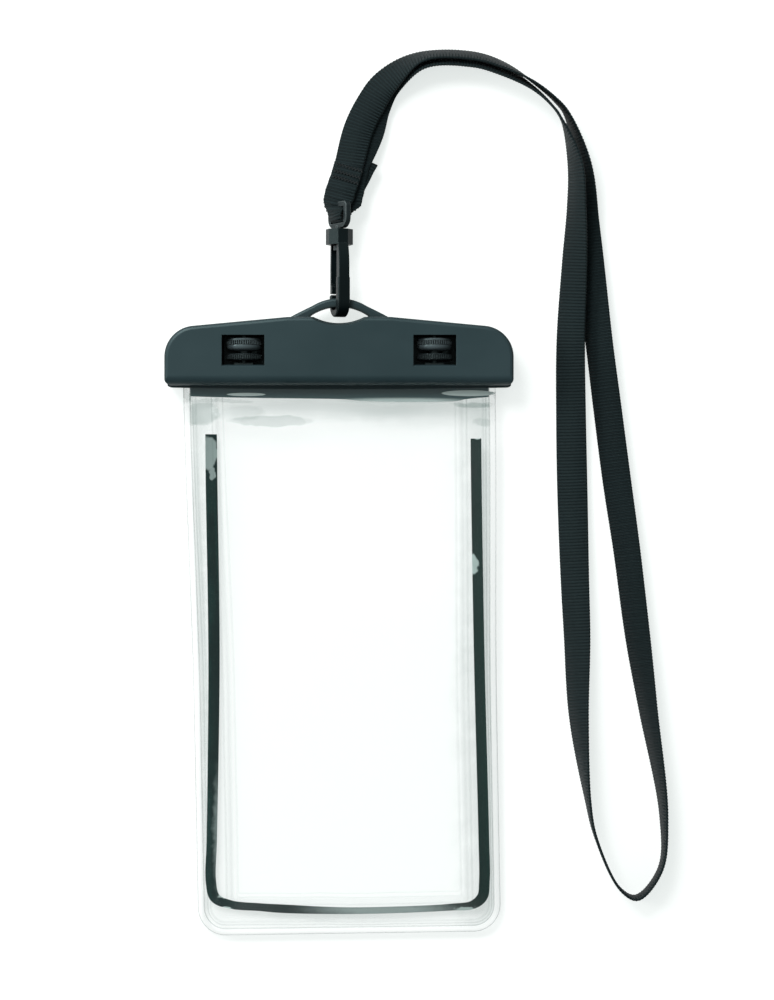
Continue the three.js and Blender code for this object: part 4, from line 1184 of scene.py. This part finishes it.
def makeFilmFinish(name, haze, shades, reflectsClamp):
    finish, tree, shader = newFinish(name, {"Roughness": 0.1, "IOR": 1.45})
    rim = fieldOf(tree, "rim")
    broad, small = filmLook["clouds"]
    tone = product(tree, objectNoise(tree, 31, 1, (1, 0.7, 1)), small)
    tone = mathNode(tree, "MULTIPLY_ADD", objectNoise(tree, 14, 2, (1, 0.45, 1)), broad, tone)
    amount = rangeOf(tree, tone, 0.0, 1.0, filmLook["leastHaze"] * haze, haze)
    place, torn = tornPlaces(tree, *filmLook["tear"])
    for oval in shades:
        amount = mathNode(tree, "ADD", amount, ovalAt(tree, torn, oval))
    inWeld = mathNode(tree, "LESS_THAN", rim, pouch["weld"])
    thinned = mathNode(tree, "MULTIPLY_ADD", inWeld, -filmLook["weldClear"], 1)
    amount = product(tree, amount, thinned)
    # Film seen at a slant gets more tint, a painted reflection
    blend, power, strength = filmLook["slant"]
    facing = addNode(tree, "ShaderNodeLayerWeight", {"Blend": blend}).outputs["Facing"]
    amount = mathNode(tree, "MULTIPLY_ADD", mathNode(tree, "POWER", facing, power), strength, amount)
    # Thin lines where the weld begins and along the cut edge
    line = strongest(tree, [lineAt(tree, rim, middle, width) for middle, width in filmLook["seamLines"]])
    worn = rangeOf(tree, objectNoise(tree, 55, 2), 0.0, 1.0, *filmLook["seamWear"])
    amount = mathNode(tree, "MULTIPLY_ADD", product(tree, line, worn), filmLook["seamHaze"], amount)
    # Faint painted shade streaks that run with the outline, where the sheets rise from the weld to the
    # filled middle
    drift = product(tree, objectNoise(tree, 24, 2, (1, 0.25, 1)), filmLook["streakDrift"])
    streak = mathNode(tree, "ADD", rim, drift)
    for middle, width, strength in filmShadeStreaks:
        amount = mathNode(tree, "MULTIPLY_ADD", lineAt(tree, streak, middle, width), strength, amount)
    shader.inputs["Base Color"].default_value = (*filmLook["tint"], 1)
    if reflectsClamp:
        # A dark band under the lip is painted in as the clamp's reflection in the film, with painted pale
        # glints
        clampReflection = clampReflectionMask(tree, place, rim)
        glint = strongest(tree, [ovalAt(tree, place, oval) for oval in clampReflectionGlints])
        shade = mixColour(tree, clampReflection, filmLook["tint"], filmLook["clampReflection"])
        shade = mixColour(tree, rangeOf(tree, glint, 0.0, 0.3), shade, filmLook["pale"])
        drive(tree, shader, {"Base Color": shade})
        amount = strongest(tree, [amount, product(tree, clampReflection, filmLook["clampReflectionAlpha"]), glint])
    # The bent and welded edge turns light away, so it shades the floor more than it looks
    shaded = addNode(tree, "ShaderNodeLightPath").outputs["Is Shadow Ray"]
    shaded = product(tree, shaded, inWeld, filmLook["seamShadow"])
    drive(tree, shader, {"Alpha": mathNode(tree, "MAXIMUM", amount, shaded)})
    return finish


frontFinish = makeFilmFinish("clear film front", filmLook["frontHaze"], filmShades, True)
backFinish = makeFilmFinish("clear film back", filmLook["backHaze"], [], False)
filmFront = makeFilm("pouch_film_front", frontFilm, frontFinish)
filmBack = makeFilm("pouch_film_back", backFilm, backFinish)
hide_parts("film_front")
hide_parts("film_back")
print("film made:", len(filmFront.data.polygons), "faces in each sheet")


# Border strip: a flat U between the sheets, its legs bowed and its foot thinner

# x, y and width in millimetres
stripRoute = [
    (-41.6, 58.7, 3.6), (-41.5, 45.5, 3.65), (-40.7, -13.5, 3.55), (-41.4, -72, 3.3), (-41.7, -86.5, 3.3),
    (-40.4, -91.6, 3.2), (-35.6, -93.9, 2.6), (-26, -94.8, 2.4), (-18.6, -95.3, 2.6), (1.2, -95.9, 2.1),
    (19.9, -95.6, 2.05), (36.3, -94.8, 2.1), (43, -94.1, 2.6), (46.3, -91.4, 3.3), (47, -86, 3.45),
    (46.8, -72, 3.45), (45.3, -13.5, 3.4), (44.3, 45.5, 3.4), (44.2, 57.3, 3.4),
]
stripBuild = {"thickness": 0.3, "lift": 0.12, "steps": 12}


def makeStrip():
    vertices, faces = [], []
    line = smoothRoute([[x, y, 0, width] for x, y, width in stripRoute], stripBuild["steps"])
    for i, (x, y, z, width) in enumerate(line):
        way = routeWay([point[:3] for point in line], i)
        for side in (1, -1):
            place = Vector((x, y, 0)) + Vector((-way.y, way.x, 0)) * (side * width / 2)
            low = backFilm(place.x, place.y)[1] + stripBuild["lift"]
            for height in (low, low + stripBuild["thickness"]):
                vertices.append(Vector((place.x, place.y, height)))
    last = len(vertices) - 4
    for a in range(0, last, 4):
        b = a + 4
        faces += [(a, a + 2, b + 2, b), (a + 1, b + 1, b + 3, a + 3)]
        faces += [(a, b, b + 1, a + 1), (a + 2, a + 3, b + 3, b + 2)]
    faces += [(0, 1, 3, 2), (last, last + 2, last + 3, last + 1)]
    finish = makeBorderFinish()
    strip = makeObject("border_strip_u", [v * mm for v in vertices], faces, finish, smooth=False)
    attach(strip, "root")
    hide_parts("border_strip")
    return strip


borderStrip = makeStrip()


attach(strap, "root")
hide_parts("strap_pair", "strap_loop")


# Floor, world and lamps

studio = {
    "floorZ": -0.15 * mm,
    "floorHalf": 3.0,
    "glow": (0.665, 0.703, 0.690),  # what shadows don't reach of the floor's white
    "floorWhite": 0.55,
    "floorGloss": 0.4,
    "worldDark": 0.14,
    "worldBright": 0.6,
    "worldWay": (-0.55, 0.75, 0.4),  # the side of the room that the window is on
    "worldTurn": (-0.7, 0.9),  # along that way, from the dark to the bright side
    "keyPower": 9.0,
    "keyPlace": (-0.40, 0.74, 1.03),
    "keySize": 0.5,
    "sidePower": 3.2,
    "sidePlace": (-0.85, 0.30, 0.42),
    "sideSize": 0.35,
}


def makeFloor():
    finish, tree, shader = newFinish("floor white", {"Roughness": 1.0, "Specular IOR Level": 0.0})
    shader.inputs["Base Color"].default_value = (studio["floorWhite"],) * 3 + (1,)
    path = addNode(tree, "ShaderNodeLightPath").outputs
    gloss = product(tree, path["Is Glossy Ray"], studio["floorGloss"])
    seen = strongest(tree, [path["Is Camera Ray"], gloss, path["Is Transmission Ray"]])
    shader.inputs["Emission Color"].default_value = (*studio["glow"], 1)
    drive(tree, shader, {"Emission Strength": seen})
    reach, height = studio["floorHalf"], studio["floorZ"]
    corners = [(x * reach, y * reach, height) for x, y in ((-1, -1), (1, -1), (1, 1), (-1, 1))]
    makeObject("floor", corners, [(0, 1, 2, 3)], finish, smooth=False)


def makeWorld():
    world = bpy.data.worlds.new("studio")
    bpy.context.scene.world = world
    world.use_nodes = True
    tree = world.node_tree
    seen = addNode(tree, "ShaderNodeLightPath").outputs["Is Camera Ray"]
    way = addNode(tree, "ShaderNodeTexCoord").outputs["Generated"]
    towards = vectorNode(tree, "DOT_PRODUCT", {0: way, 1: studio["worldWay"]}, "Value")
    light = rangeOf(tree, towards, *studio["worldTurn"], studio["worldDark"], studio["worldBright"])
    background = tree.nodes["Background"].inputs
    background["Color"].default_value = (1, 1, 1, 1)
    tree.links.new(mathNode(tree, "MAXIMUM", seen, light), background["Strength"])


def makeLamp(name, power, place, size):
    lamp = bpy.data.lights.new(name, "AREA")
    lamp.energy = power
    lamp.size = size
    made = placeObject(name, lamp)
    made.location = place
    towards = Vector((shot["aimX"], shot["aimY"], 0)) - Vector(place)
    made.rotation_euler = towards.to_track_quat("-Z", "Y").to_euler()


makeFloor()
makeWorld()
for label in ("key", "side"):
    makeLamp(label, *(studio[label + part] for part in ("Power", "Place", "Size")))
bpy.context.scene.view_settings.view_transform = "Standard"
